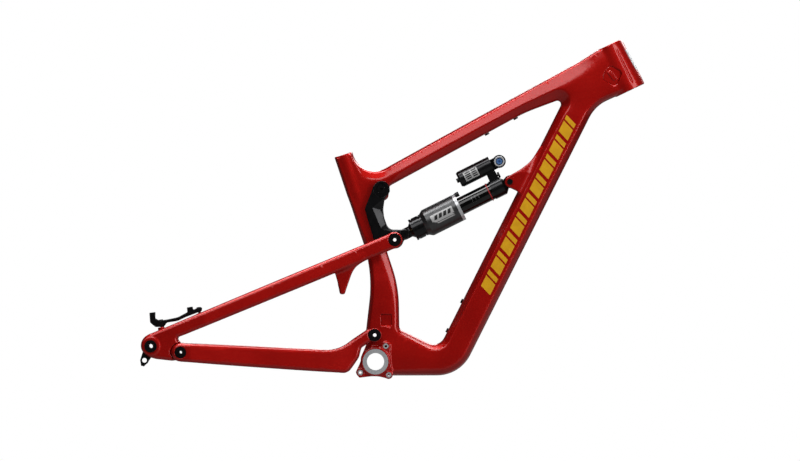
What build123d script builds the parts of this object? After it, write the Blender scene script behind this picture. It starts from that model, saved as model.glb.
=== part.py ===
from build123d import *
import os
from math import atan2, cos, degrees, hypot, radians, sin

# A full-suspension mountain bike frame with its air shock, in millimetres.
# The origin is the centre of the bottom bracket. +X points forward, +Y to the
# rider's left (the brake side) and +Z up. Points of the side view are (x, z).

# ---- Driving dimensions ----

# Pivots and axles of the suspension, in the side view.
MAIN_PIVOT = (-1.5, 52.0)
HORST_PIVOT = (-381.0, 18.5)
UPPER_PIVOT = (37.6, 238.4)
ROCKER_PIVOT = (11.6, 337.5)
SHOCK_FRONT = (263.0, 352.0)
SHOCK_REAR = (57.2, 249.3)
AXLE = (-439.2, 30.6)

# Standard interfaces.
SHELL_HALF_WIDTH = 36.5  # threaded bottom bracket, 73 mm wide
SHELL_THREAD_R = 16.95
SEATPOST_R = 15.8
SEAT_TUBE_R = 17.45
UPPER_HEADSET_R = 22.0
LOWER_HEADSET_R = 28.0
HUB_HALF_WIDTH = 74.0  # 148 mm rear hub
CHAINGUIDE_CIRCLE_R = 36.5
CHAINGUIDE_ANGLES = (56.4, 215.5, 315.0)
THREAD_M6_R = 2.5
THREAD_M10_R = 4.6
BOTTLE_SPACING = 64.0
HEAD_PORT = (463.0, 559.5)
PORT_DEPTH = 2.2
BOTTLE_SHANK_R = 2.4

# Main tubes.
WALL = 3.5
HEAD_ANGLE = 64.5
HEAD_BOTTOM = (499.0, 531.0)
HEAD_LENGTH = 98.5
HEAD_BOTTOM_R = 30.5
HEAD_TOP_R = 25.75
HEAD_COLLAR = 16.0  # straight length at the lower end
HEADSET_DEPTH = 13.0
SEAT_CHAMFER = 0.5
SEAT_ANGLE = 71.4
SEAT_TOP = (-63.2, 405.0)
SEAT_BORE_DEPTH = 255.0
DOWN_TUBE_ANGLE = 63.35
DOWN_TUBE_START = (172.9, 55.3)
DOWN_TUBE_LENGTH = 446.0
DOWN_TUBE_DEPTH = 61.0
TOP_TUBE_ANGLE = 28.7
TOP_TUBE_EDGE = (57.0, 399.2)  # a point on its upper edge, where it starts

# Half widths, from the middle of the frame outwards.
JUNCTION_HALF = 28.0
HEAD_HALF = 26.0
YOKE_HALF = 17.5
ROCKER_INNER = 19.0
ROCKER_OUTER = 29.7
STAY_EYE_INNER = 30.3
STAY_EYE_OUTER = 41.0
CHAINSTAY_EYE_INNER = 29.2
CHAINSTAY_EYE_OUTER = 40.0
DROPOUT_OUTER = 86.0
TONGUE_OUTER = 80.0
HORST_INNER = 80.3
HORST_OUTER = 91.0
EAR_INNER = 12.6
EAR_OUTER = 20.0

# Pivot hardware radii.
RUNNING = 0.03  # radial clearance of a shaft in its bearing
PIVOT_BEARING_R = 12.0
PIVOT_SHAFT_R = 7.5
SMALL_BEARING_R = 9.5
SMALL_SHAFT_R = 5.0
UPPER_BEARING_R = 10.5
UPPER_SHAFT_R = 6.0
HOLLOW_PIVOT_R = 3.5

# Shock, as distances along its axis from the rear eye, and radii.
CAN_R = 27.5
CAN_BORE_R = 25.0
DAMPER_R = 17.25
DAMPER_BORE_R = 15.5
SHAFT_R = 6.0
SEAL_HEAD = (115.0, 121.0)
AIR_PISTON = (111.4, 114.6)
HEAD_BLOCK = (191.0, 215.0)
RESERVOIR_OFFSET = 47.5
RESERVOIR_R = 16.0
RESERVOIR = (142.0, 213.0)
DIAL_CENTRE = (229.0, 45.0)  # distance along the shock, rise above its axis
REBOUND_RISE = 22.0
REBOUND_R = 5.6
VALVE_RISE = 23.9
VALVE_CAP_R = 4.7
SLIDING = 0.05  # radial clearance of the sliding seals

SIDES = (-1, 1)  # drive side, brake side


# ---- Shared shapes ----


def side_face(points):
    """A face in the side plane, from its (x, z) corners."""
    return make_face(Plane.XZ * Polyline(*points, close=True))


def slab(points, y_low, y_high):
    """A side-view outline given thickness, from y_low to y_high."""
    start = min(y_low, y_high)
    outline = extrude(side_face(points), amount=abs(y_high - y_low), dir=(0, 1, 0))
    return Pos(0, start, 0) * outline


def rod(at, y_low, y_high, radius):
    """A cylinder across the frame, centred on a point of the side view."""
    middle = (y_low + y_high) / 2
    return Pos(at[0], middle, at[1]) * Rot(90, 0, 0) * Cylinder(radius, abs(y_high - y_low))


def ring(at, y_low, y_high, outer, inner):
    """A rod with a hole through it."""
    return rod(at, y_low, y_high, outer) - rod(at, y_low, y_high, inner)


def side_pair(make):
    """The drive side and brake side copies of a piece, made by make(side)."""
    return make(-1) + make(1)


def axis_plane(at, angle, y=0.0):
    """A plane whose Z axis leans angle degrees above +X in the side view."""
    lean = radians(angle)
    return Plane(origin=(at[0], y, at[1]), x_dir=(0, 1, 0), z_dir=(cos(lean), 0, sin(lean)))


def along(at, angle, start, end, radius, end_radius=None):
    """A cylinder or cone along a leaning axis, between two distances on it."""
    length = end - start
    placed = axis_plane(at, angle) * Pos(0, 0, (start + end) / 2)
    if end_radius is None:
        return placed * Cylinder(radius, length)
    return placed * Cone(radius, end_radius, length)


def moved_along(at, angle, distance, rise=0.0):
    """The side-view point at a distance along a leaning axis, and a rise square to it."""
    lean = radians(angle)
    x = at[0] + distance * cos(lean) - rise * sin(lean)
    z = at[1] + distance * sin(lean) + rise * cos(lean)
    return (x, z)


def section(at, angle, depth, width, y=0.0, roundness=0.42):
    """A rounded rectangle across a tube that leans angle degrees above +X."""
    radius = roundness * min(depth, width)
    return axis_plane(at, angle, y) * RectangleRounded(width, depth, radius)


def tube_loft(stations, inset=0.0):
    """A tube through stations of (point, angle, depth, width), or its bore."""
    shrunk = 2 * inset
    faces = [section(at, angle, depth - shrunk, width - shrunk) for at, angle, depth, width in stations]
    return loft(faces, ruled=True)


def arm_loft(stations, side):
    """A stay through stations of (x, inner y, outer y, bottom z, top z)."""
    faces = []
    for x, inner, outer, bottom, top in stations:
        middle = ((inner + outer) / 2) * side
        at = (x, (bottom + top) / 2)
        faces.append(section(at, 0.0, top - bottom, outer - inner, middle, roundness=0.4))
    return loft(faces, ruled=True)


def bolt_from(at, angle, head_r, head_height, shank_r, shank_length):
    """A bolt in the side plane: its head stands out along the angle from a point."""
    head = along(at, angle, 0.0, head_height, head_r)
    shank = along(at, angle, -shank_length, 0.0, shank_r)
    return head + shank


# ---- Front triangle: outer forms and bores ----

DOWN_TUBE_END = moved_along(DOWN_TUBE_START, DOWN_TUBE_ANGLE, DOWN_TUBE_LENGTH)
HEAD_AXIS_ANGLE = 180.0 - HEAD_ANGLE
SEAT_AXIS_ANGLE = 180.0 - SEAT_ANGLE


def top_tube_station(distance, depth, width):
    """A top tube section that hangs from the straight upper edge."""
    at = moved_along(TOP_TUBE_EDGE, TOP_TUBE_ANGLE, distance, -depth / 2)
    return (at, TOP_TUBE_ANGLE, depth, width)


TOP_TUBE_STATIONS = [
    top_tube_station(0.0, 34.5, 2 * YOKE_HALF),
    top_tube_station(40.0, 34.5, 41.0),
    top_tube_station(245.0, 35.6, 43.0),
    top_tube_station(277.0, 40.0, 45.0),
    top_tube_station(311.0, 45.5, 48.0),
]

DOWN_TUBE_STATIONS = [
    (DOWN_TUBE_START, DOWN_TUBE_ANGLE, DOWN_TUBE_DEPTH, 2 * JUNCTION_HALF),
    (DOWN_TUBE_END, DOWN_TUBE_ANGLE, DOWN_TUBE_DEPTH, 58.0),
]


def seat_station(z, rear, front, width):
    """A level section of the seat tube, from its rear edge to its front edge."""
    return (((rear + front) / 2, z), 90.0, front - rear, width)


SEAT_TUBE_STATIONS = [
    seat_station(69.0, -19.3, 46.7, 50.0),
    seat_station(104.0, -14.7, 45.2, 46.0),
    seat_station(151.0, -10.9, 42.0, 40.0),
    seat_station(198.0, -15.2, 28.6, 36.0),
    seat_station(240.0, -26.2, 11.6, 35.0),
    seat_station(345.0, -61.4, -24.6, 34.9),
]

# Head junction, from the top tube's end round the head tube to the down tube's end.
HEAD_JUNCTION_OUTLINE = [
    moved_along(TOP_TUBE_EDGE, TOP_TUBE_ANGLE, 311.0),
    (401.0, 587.3),
    (433.5, 609.0),
    (470.0, 600.0),
    (498.0, 540.0),
    (470.0, 517.5),
    (443.0, 503.0),
    (429.0, 491.0),
    (408.0, 456.0),
    moved_along(DOWN_TUBE_END, DOWN_TUBE_ANGLE, 0.0, -DOWN_TUBE_DEPTH / 2),
    moved_along(DOWN_TUBE_END, DOWN_TUBE_ANGLE, 0.0, DOWN_TUBE_DEPTH / 2),
    (357.5, 491.0),
    (361.0, 503.0),
    moved_along(TOP_TUBE_EDGE, TOP_TUBE_ANGLE, 311.0, -45.5),
]

# Bottom bracket junction, from the down tube's start under the shell to the seat tube.
SHELL_JUNCTION_OUTLINE = [
    moved_along(DOWN_TUBE_START, DOWN_TUBE_ANGLE, 0.0, -DOWN_TUBE_DEPTH / 2),
    (182.0, 6.4),
    (166.0, -12.8),
    (151.0, -22.0),
    (133.0, -26.0),
    (41.0, -27.4),
    (0.0, -27.5),
    (-20.0, -19.0),
    (-27.5, 0.0),
    (-26.5, 13.0),
    (-17.0, 40.0),
    (-19.3, 69.0),
    (46.7, 69.0),
    (57.0, 58.5),
    (88.0, 43.3),
    (104.0, 36.0),
    (119.0, 35.6),
    (131.0, 46.0),
    moved_along(DOWN_TUBE_START, DOWN_TUBE_ANGLE, 0.0, DOWN_TUBE_DEPTH / 2),
]

# Yoke that joins the seat tube to the top tube and carries the rocker pivot.
YOKE_OUTLINE = [
    (-56.0, 392.0),
    (-44.0, 397.0),
    (-34.0, 385.0),
    (-21.0, 377.0),
    (-6.0, 374.5),
    (25.0, 381.6),
    (41.0, 390.4),
    TOP_TUBE_EDGE,
    moved_along(TOP_TUBE_EDGE, TOP_TUBE_ANGLE, 0.0, -34.5),
    (59.6, 362.0),
    (40.0, 350.5),
    (30.6, 338.8),
    (27.0, 328.0),
    (20.0, 319.0),
    (10.0, 315.5),
    (0.0, 316.0),
    (-5.0, 308.0),
    (-9.0, 285.0),
    (-16.0, 262.0),
    (-26.0, 266.0),
]


def hollow(points, inset, half_width):
    """The closed hollow inside a slab-shaped junction, inset from its outline."""
    outline = offset(side_face(points), amount=-inset)
    return Pos(0, -half_width, 0) * extrude(outline, amount=2 * half_width, dir=(0, 1, 0))


def head_tube_form():
    cone_length = HEAD_LENGTH - HEAD_COLLAR
    collar = along(HEAD_BOTTOM, HEAD_AXIS_ANGLE, 0.0, HEAD_COLLAR, HEAD_BOTTOM_R)
    start = moved_along(HEAD_BOTTOM, HEAD_AXIS_ANGLE, HEAD_COLLAR)
    cone = along(start, HEAD_AXIS_ANGLE, 0.0, cone_length, HEAD_BOTTOM_R, HEAD_TOP_R)
    return collar + cone


def head_tube_bore():
    """The steerer's way through, with a step at each end for a headset seat."""
    middle = along(HEAD_BOTTOM, HEAD_AXIS_ANGLE, 0.0, HEAD_LENGTH, 25.5, 20.5)
    lower = along(HEAD_BOTTOM, HEAD_AXIS_ANGLE, -1.0, HEADSET_DEPTH, LOWER_HEADSET_R + 1.2)
    upper_start = HEAD_LENGTH - HEADSET_DEPTH
    upper = along(HEAD_BOTTOM, HEAD_AXIS_ANGLE, upper_start, HEAD_LENGTH + 1.0, UPPER_HEADSET_R + 1.4)
    return middle + lower + upper


def port_diamond(reach):
    """The outline of a cable port on the head junction, out to its corners."""
    return [moved_along(HEAD_PORT, angle, reach) for angle in (20.0, 110.0, 200.0, 290.0)]


def head_port_pocket(side):
    """The shallow diamond-shaped pocket of a cable port."""
    return slab(port_diamond(19.0), side * (HEAD_HALF - PORT_DEPTH), side * (HEAD_HALF + 6.0))


def head_tube():
    junction = slab(HEAD_JUNCTION_OUTLINE, -HEAD_HALF, HEAD_HALF)
    inside = hollow(HEAD_JUNCTION_OUTLINE, 5.0, HEAD_HALF - WALL)
    form = junction - (inside - head_tube_form()) + head_tube_form()
    for side in SIDES:
        form -= head_port_pocket(side)
    return form - head_tube_bore()


def headset_seat(start, end, radius, wall):
    """A ring for a pressed headset cup, chamfered inside at both ends."""
    wide = radius + SEAT_CHAMFER
    form = along(HEAD_BOTTOM, HEAD_AXIS_ANGLE, start, end, radius + wall)
    form -= along(HEAD_BOTTOM, HEAD_AXIS_ANGLE, start - 1, end + 1, radius)
    form -= along(HEAD_BOTTOM, HEAD_AXIS_ANGLE, start, start + SEAT_CHAMFER, wide, radius)
    return form - along(HEAD_BOTTOM, HEAD_AXIS_ANGLE, end - SEAT_CHAMFER, end, radius, wide)


def head_badge():
    """A plain curved plate bonded to the front of the head tube."""
    outer = along(HEAD_BOTTOM, HEAD_AXIS_ANGLE, 32.0, 76.0, 30.1, 28.1)
    inner = along(HEAD_BOTTOM, HEAD_AXIS_ANGLE, 31.0, 77.0, 29.65, 27.05)
    window = moved_along(HEAD_BOTTOM, HEAD_AXIS_ANGLE, 54.0, -30.0)
    front = axis_plane(window, HEAD_AXIS_ANGLE) * Box(26.0, 20.0, 60.0)
    return (outer - inner) & front


def cable_port_cover(side):
    """A diamond cover that fills a head port, with a slanted rib across it."""
    cover = slab(port_diamond(18.6), side * (HEAD_HALF - PORT_DEPTH), side * (HEAD_HALF - 0.2))
    rib = [moved_along(HEAD_PORT, 65.0, reach, rise) for reach, rise in ((-9, -4), (9, -4), (9, 4), (-9, 4))]
    return (cover + slab(rib, side * (HEAD_HALF - 0.2), side * (HEAD_HALF + 1.2))) - head_tube_form()


def bottle_point(row, index):
    """A bottle bolt's place on the tube's face, and the way its head points."""
    if row == "down":
        distance = -9.1 + index * BOTTLE_SPACING
        at = moved_along(DOWN_TUBE_START, DOWN_TUBE_ANGLE, distance, DOWN_TUBE_DEPTH / 2)
        return at, DOWN_TUBE_ANGLE + 90.0
    distance = 163.5 + index * BOTTLE_SPACING
    at = moved_along(TOP_TUBE_EDGE, TOP_TUBE_ANGLE, distance, -35.4)
    return at, TOP_TUBE_ANGLE - 90.0


BOTTLE_POINTS = [bottle_point(row, index) for row in ("down", "top") for index in (0, 1)]


def joined(shapes):
    """Several shapes as one, which may stay apart as separate solids."""
    whole = shapes[0]
    for shape in shapes[1:]:
        whole += shape
    return whole


def bottle_bolts():
    return joined([bolt_from(at, angle, 4.6, 3.4, BOTTLE_SHANK_R, 12.0) for at, angle in BOTTLE_POINTS])


def top_tube():
    return tube_loft(TOP_TUBE_STATIONS) - tube_loft(TOP_TUBE_STATIONS, WALL)


def down_tube():
    return tube_loft(DOWN_TUBE_STATIONS) - tube_loft(DOWN_TUBE_STATIONS, WALL)


def seat_tube_form():
    collar = along(SEAT_TOP, SEAT_AXIS_ANGLE, -70.0, 0.0, SEAT_TUBE_R)
    return tube_loft(SEAT_TUBE_STATIONS) + collar


def seat_tube():
    """The seat tube, bored for the seatpost and hollow below."""
    seatpost = along(SEAT_TOP, SEAT_AXIS_ANGLE, -SEAT_BORE_DEPTH, 1.0, SEATPOST_R)
    lower_hollow = tube_loft(SEAT_TUBE_STATIONS[:3], 4.5)
    window = slab([(11, 65), (32, 68), (32, 93), (10, 93)], -30.0, 30.0)
    solid_webs = slab([(11, 69), (32, 69), (32, 93), (10, 93)], -19.5, 19.5)
    return seat_tube_form() - seatpost - lower_hollow - (window - solid_webs)


def seat_port_plug(side):
    """A rubber plug in the cable port low on the seat tube."""
    plug = slab([(12, 72), (31, 72), (31, 92), (11, 92)], side * 19.5, side * 22.0)
    return plug - slab([(15, 78), (28, 80), (27, 86), (14, 84)], side * 21.0, side * 22.5)


def yoke():
    """The solid yoke ahead of the seat tube, drilled across for the rocker axle."""
    pocket = slab([(-30, 345), (-20, 362), (20, 366), (-8, 330), (-20, 300)], -13.0, 13.0)
    form = slab(YOKE_OUTLINE, -YOKE_HALF, YOKE_HALF) - pocket
    return form - rod(ROCKER_PIVOT, -30.0, 30.0, PIVOT_SHAFT_R)


def chainguide_point(angle):
    return moved_along((0.0, 0.0), angle, CHAINGUIDE_CIRCLE_R)


def bb_junction():
    """The boot round the bottom bracket and main pivot, with its chain guide tabs."""
    form = slab(SHELL_JUNCTION_OUTLINE, -JUNCTION_HALF, JUNCTION_HALF)
    form += rod((0, 0), -SHELL_HALF_WIDTH + 0.5, SHELL_HALF_WIDTH - 0.5, 28.0)
    inside = hollow(SHELL_JUNCTION_OUTLINE, 5.0, JUNCTION_HALF - 4.0)
    for at, radius in (((0, 0), 28.0), (MAIN_PIVOT, 14.7)):
        inside -= rod(at, -40.0, 40.0, radius)
    form -= inside
    for angle in CHAINGUIDE_ANGLES:
        at = chainguide_point(angle)
        form += rod(at, -31.5, -24.0, 8.6)
    form -= rod((0, 0), -50.0, 50.0, 24.95)
    form -= rod(MAIN_PIVOT, -50.0, 50.0, PIVOT_SHAFT_R)
    for angle in CHAINGUIDE_ANGLES:
        form -= rod(chainguide_point(angle), -33.0, -20.0, 5.2)
    return form


def chainguide_inserts():
    return joined([ring(chainguide_point(angle), -32.0, -20.0, 5.2, THREAD_M6_R) for angle in CHAINGUIDE_ANGLES])


def shock_ears():
    """The two ears that hold the front of the shock off the down tube."""
    outline = [
        (275.0, 329.0),
        (258.0, 343.6),
        (257.0, 360.0),
        (279.5, 374.0),
        (300.0, 388.5),
        (317.0, 411.0),
        (330.0, 398.0),
        (292.0, 322.0),
    ]
    def ear(side):
        plate = slab(outline, side * EAR_INNER, side * EAR_OUTER)
        return plate + rod(SHOCK_FRONT, side * EAR_INNER, side * EAR_OUTER, 9.6)
    return side_pair(ear) - rod(SHOCK_FRONT, -30.0, 30.0, 4.0)


# ---- Pivot hardware fixed to the front triangle ----


def main_pivot_axle():
    return ring(MAIN_PIVOT, -36.6, 36.6, PIVOT_SHAFT_R - RUNNING, HOLLOW_PIVOT_R)


def main_pivot_caps():
    return side_pair(lambda side: ring(MAIN_PIVOT, side * 36.6, side * 41.2, 12.2, HOLLOW_PIVOT_R))


def rocker_axle():
    """The axle across the yoke, with a hexagon socket in each end."""
    form = rod(ROCKER_PIVOT, -31.2, 31.2, PIVOT_SHAFT_R - RUNNING)
    return form - side_pair(lambda side: rod(ROCKER_PIVOT, side * 27.0, side * 32.0, 3.0))


def shock_front_bolt():
    shank = rod(SHOCK_FRONT, -20.0, 20.0, 4.0)
    heads = side_pair(lambda side: rod(SHOCK_FRONT, side * 20.0, side * 22.6, 5.8))
    sockets = side_pair(lambda side: rod(SHOCK_FRONT, side * 21.0, side * 23.0, 2.5))
    return shank + heads - sockets


# ---- Chainstay ----

CHAINSTAY_STATIONS = [
    (-372.0, 80.3, 91.0, 0.0, 37.0),
    (-361.0, 80.3, 91.0, 0.5, 36.3),
    (-310.0, 69.0, 83.0, -5.6, 34.1),
    (-240.0, 55.0, 71.0, -10.3, 30.6),
    (-170.0, 46.0, 62.0, -15.6, 27.2),
    (-100.0, 40.0, 55.0, -20.8, 23.9),
    (-74.0, 38.0, 51.0, -22.4, 28.0),
    (-56.0, 34.0, 46.0, -18.5, 37.0),
]

PIVOT_ARM_OUTLINE = [
    (-62.0, 33.5),
    (-53.0, 38.7),
    (-37.0, 49.4),
    (-22.0, 60.0),
    (-10.0, 64.0),
    (-1.5, 55.0),
    (-10.0, 40.0),
    (-26.0, 26.0),
    (-31.0, 10.0),
    (-39.0, -2.0),
    (-48.0, -13.5),
    (-53.0, -17.0),
    (-62.0, -21.0),
]


def pivot_boss(at, side, inner, outer, radius, bearing, cap):
    """A pivot eye, as its outside and the stepped hole for a bearing and a cap.

    bearing is (start, end, radius) and cap is (start, radius), as distances
    from the middle of the frame.
    """
    outside = rod(at, side * inner, side * outer, radius)
    lip = rod(at, side * (inner - 1), side * bearing[0], bearing[2] - 3.0)
    seat = rod(at, side * bearing[0], side * cap[0], bearing[2])
    mouth = rod(at, side * cap[0], side * (outer + 3), cap[1])
    return outside, lip + seat + mouth


def chainstay(side):
    arm = arm_loft(CHAINSTAY_STATIONS, side)
    arm += slab(PIVOT_ARM_OUTLINE, side * CHAINSTAY_EYE_INNER, side * (CHAINSTAY_EYE_OUTER + 1.5))
    main, main_hole = pivot_boss(MAIN_PIVOT, side, CHAINSTAY_EYE_INNER, CHAINSTAY_EYE_OUTER, 14.7,
                                 (31.5, 36.5, PIVOT_BEARING_R), (36.5, 12.6))
    horst, horst_hole = pivot_boss(HORST_PIVOT, side, HORST_INNER, HORST_OUTER, 18.7,
                                   (82.5, 87.5, SMALL_BEARING_R), (87.7, 11.1))
    return arm + main + horst - main_hole - horst_hole


def chainstay_yoke():
    """The bridge behind the bottom bracket that ties the two arms together."""
    outline = [(-62, 4), (-56, -4), (-47, -4), (-40, 6), (-42, 36), (-50, 40), (-62, 30)]
    bridge = slab(outline, -CHAINSTAY_EYE_INNER - 6, CHAINSTAY_EYE_INNER + 6)
    bridge -= slab([(-64, 12), (-50, 8), (-48, 28), (-64, 24)], -24.0, 24.0)
    for side in SIDES:
        bridge -= chainstay(side)
    return bridge


def main_pivot_bearings():
    return side_pair(lambda side: ring(MAIN_PIVOT, side * 31.5, side * 36.5, PIVOT_BEARING_R, PIVOT_SHAFT_R))


def horst_bearings():
    return side_pair(lambda side: ring(HORST_PIVOT, side * 82.5, side * 87.5, SMALL_BEARING_R, SMALL_SHAFT_R))


# ---- Seatstay ----

SEATSTAY_ANGLE = 22.6
SEATSTAY_AT = (-335.0, 83.75)  # a point on the stays' centre line
SEATSTAY_DEPTH = 29.8
# Distance along the centre line, inner y and outer y.
SEATSTAY_STATIONS = [
    (-58.0, 74.0, 85.0),
    (0.0, 70.0, 83.0),
    (104.0, 57.0, 71.0),
    (201.0, 45.0, 59.0),
    (268.0, 38.5, 51.0),
    (300.0, 35.5, 47.5),
    (336.0, 31.4, 43.0),
    (395.0, STAY_EYE_INNER, STAY_EYE_OUTER),
]

DROPOUT_OUTLINE = [
    (-384.0, 79.0),
    (-413.0, 69.0),
    (-429.0, 61.0),
    (-444.0, 54.0),
    (-455.0, 45.0),
    (-458.5, 33.5),
    (-455.0, 21.7),
    (-446.0, 11.0),
    (-429.0, 4.8),
    (-413.0, 2.8),
    (-398.0, 1.5),
    (-381.0, 5.5),
    (-368.5, 14.0),
    (-368.5, 24.0),
    (-375.0, 31.0),
    (-386.0, 44.0),
    (-372.0, 56.0),
]

HANGER_EYE = (-451.2, 3.1)
HANGER_LEG_OUTLINE = [(-452.5, 26.0), (-459.5, 4.0), (-458.0, -7.5), (-452.0, -9.0), (-444.0, 0.0), (-430.0, 20.0)]

BRIDGE_CHEEK_OUTLINE = [
    (-80.0, 176.0),
    (-73.5, 157.0),
    (-69.8, 139.0),
    (-64.0, 133.0),
    (-58.0, 139.0),
    (-54.4, 151.0),
    (-50.5, 163.0),
    (-44.0, 190.0),
]
BRIDGE_CROSS_OUTLINE = [(-73.0, 153.0), (-69.8, 139.0), (-64.0, 133.0), (-59.5, 139.0), (-65.0, 153.0)]

ADAPTER_Y = 70.0
ADAPTER_ANGLE = 9.2
ADAPTER_REAR = (-437.4, 95.1)  # centre of the rear post's top
POST_SPACING = 74.0
ADAPTER_FRONT = moved_along(ADAPTER_REAR, ADAPTER_ANGLE, POST_SPACING)
ADAPTER_BOLTS = ((-420.0, 84.0), (-346.0, 101.0))


def post_rod(at, low, high, radius):
    """A cylinder square to the brake adapter, between two heights from a point."""
    placed = axis_plane(at, ADAPTER_ANGLE + 90.0, ADAPTER_Y)
    return placed * Pos(0, 0, (low + high) / 2) * Cylinder(radius, high - low)


def with_adapter_boss(form, at, low):
    """The frame with a threaded boss on it, under one of the brake adapter's bolts."""
    return form + post_rod(at, low, -5.5, 6.5) - post_rod(at, -17.0, 0.0, THREAD_M6_R)


def seatstay(side):
    faces = []
    for distance, inner, outer in SEATSTAY_STATIONS:
        at = moved_along(SEATSTAY_AT, SEATSTAY_ANGLE, distance)
        middle = side * (inner + outer) / 2
        faces.append(section(at, SEATSTAY_ANGLE, SEATSTAY_DEPTH, outer - inner, middle, roundness=0.4))
    arm = loft(faces, ruled=True)
    eye, eye_hole = pivot_boss(UPPER_PIVOT, side, STAY_EYE_INNER, STAY_EYE_OUTER, 16.2,
                               (31.5, 36.5, UPPER_BEARING_R), (37.8, 12.2))
    form = arm + eye - eye_hole
    form += slab(BRIDGE_CHEEK_OUTLINE, side * 33.0, side * 39.5)
    if side > 0:
        form = with_adapter_boss(form, ADAPTER_BOLTS[1], -16.0)
    return form


def dropout(side):
    """A dropout plate, with the thin tongue that reaches the Horst pivot."""
    plate = slab(DROPOUT_OUTLINE, side * HUB_HALF_WIDTH, side * DROPOUT_OUTER)
    plate -= rod(HORST_PIVOT, side * TONGUE_OUTER, side * 100.0, 19.3)
    plate -= rod(HORST_PIVOT, side * 60.0, side * 100.0, SMALL_SHAFT_R - RUNNING)
    if side < 0:
        plate -= rod(AXLE, -100.0, -60.0, 9.0)
        plate -= rod(HANGER_EYE, -100.0, -60.0, 8.9)
        plate -= rod(AXLE, -78.4, -60.0, 15.0)
        plate -= slab(HANGER_LEG_OUTLINE, -78.4, -60.0)
    else:
        plate -= rod(AXLE, 60.0, 100.0, 6.0)
        plate = with_adapter_boss(plate, ADAPTER_BOLTS[0], -30.0)
    return plate


def seatstay_bridge():
    return slab(BRIDGE_CROSS_OUTLINE, -33.0, 33.0)


def horst_bolts():
    """Hollow bolts through the Horst bearings into the dropout tongues."""
    def bolt(side):
        shank = rod(HORST_PIVOT, side * HUB_HALF_WIDTH, side * 88.0, SMALL_SHAFT_R - RUNNING)
        head = rod(HORST_PIVOT, side * 88.0, side * 91.8, 10.75)
        return shank + head - rod(HORST_PIVOT, side * 70.0, side * 95.0, 3.1)
    return side_pair(bolt)


def upper_pivot_bearings():
    return side_pair(lambda side: ring(UPPER_PIVOT, side * 31.5, side * 36.5, UPPER_BEARING_R, UPPER_SHAFT_R))


def upper_pivot_bolts():
    """Hollow bolts with wide caps, in the bearings of the seatstay eyes."""
    def bolt(side):
        shank = rod(UPPER_PIVOT, side * 30.5, side * 38.0, UPPER_SHAFT_R)
        head = rod(UPPER_PIVOT, side * 38.0, side * 42.2, 11.95)
        return shank + head - rod(UPPER_PIVOT, side * 20.0, side * 50.0, 3.25)
    return side_pair(bolt)


def derailleur_hanger():
    plate = rod(AXLE, -78.2, -HUB_HALF_WIDTH, 14.5)
    leg = slab(HANGER_LEG_OUTLINE, -78.2, -HUB_HALF_WIDTH)
    eye = rod(HANGER_EYE, -82.0, -HUB_HALF_WIDTH, 8.3)
    form = plate + leg + eye
    form -= rod(HANGER_EYE, -90.0, -60.0, THREAD_M10_R)
    return form - rod(AXLE, -90.0, -60.0, 6.0)


def hanger_bolt():
    head = ring(AXLE, -89.0, -DROPOUT_OUTER, 12.1, 6.0)
    return head + ring(AXLE, -DROPOUT_OUTER, -78.4, 9.0, 6.0)


def thru_axle():
    tube = rod(AXLE, -88.6, 90.0, 6.0)
    head = rod(AXLE, DROPOUT_OUTER, 90.5, 9.5)
    return tube + head - rod(AXLE, -95.0, 95.0, 4.35)


def brake_adapter():
    """The bar with two posts that carries the caliper above the left stay."""
    bar = [
        (-443.0, 76.0),
        (-428.0, 79.0),
        (-372.0, 88.0),
        (-340.0, 99.0),
        (-339.0, 106.0),
        (-346.0, 107.0),
        (-372.0, 98.0),
        (-424.0, 90.0),
        (-443.0, 86.0),
    ]
    form = slab(bar, ADAPTER_Y - 6.0, ADAPTER_Y + 6.0)
    for at in (ADAPTER_REAR, ADAPTER_FRONT):
        form += post_rod(at, -14.0, 0.0, 5.4)
    for at in (ADAPTER_REAR, ADAPTER_FRONT):
        form -= post_rod(at, -30.0, 1.0, THREAD_M6_R)
    for at in ADAPTER_BOLTS:
        form -= post_rod(at, -30.0, 20.0, 3.0)
        form -= post_rod(at, -30.0, -5.4, 8.0)
        form -= post_rod(at, 1.0, 20.0, 5.6)
    return form


def adapter_bolts():
    bolts = []
    for at in ADAPTER_BOLTS:
        shank = post_rod(at, -16.0, 1.0, THREAD_M6_R)
        head = post_rod(at, 1.0, 6.0, 4.6)
        bolts.append(shank + head - post_rod(at, 3.0, 7.0, 2.2))
    return joined(bolts)


# ---- Rocker ----

ROCKER_OUTLINE = [
    (-4.0, 342.5),
    (-20.9, 299.0),
    (-4.0, 243.0),
    (22.0, 226.0),
    (37.5, 221.0),
    (44.0, 222.0),
    (63.0, 242.5),
    (57.0, 258.2),
    (24.6, 259.6),
    (16.4, 284.0),
    (17.2, 314.8),
    (26.2, 330.5),
]


def rocker_link():
    """A two-sided link: a plate each side, and a web across the front."""
    def plate(side):
        form = slab(ROCKER_OUTLINE, side * ROCKER_INNER, side * ROCKER_OUTER)
        for at, radius in ((ROCKER_PIVOT, 16.2), (UPPER_PIVOT, 17.2), (SHOCK_REAR, 9.0)):
            form += rod(at, side * ROCKER_INNER, side * ROCKER_OUTER, radius)
        form -= rod(ROCKER_PIVOT, side * 18.0, side * 20.5, 9.0)
        form -= rod(ROCKER_PIVOT, side * 20.5, side * 25.5, PIVOT_BEARING_R)
        form -= rod(ROCKER_PIVOT, side * 25.5, side * 31.0, 15.0)
        form -= rod(UPPER_PIVOT, side * 18.0, side * 31.0, HOLLOW_PIVOT_R)
        form -= rod(SHOCK_REAR, side * 18.0, side * 31.0, 5.0)
        form -= rod(SHOCK_REAR, side * 26.8, side * 31.0, 7.2)
        return form
    web_outline = [(5.5, 286.0), (16.4, 286.0), (13.0, 300.0), (17.0, 313.0), (6.5, 314.0)]
    web = slab(web_outline, -ROCKER_INNER - 0.5, ROCKER_INNER + 0.5)
    return side_pair(plate) + web


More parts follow.
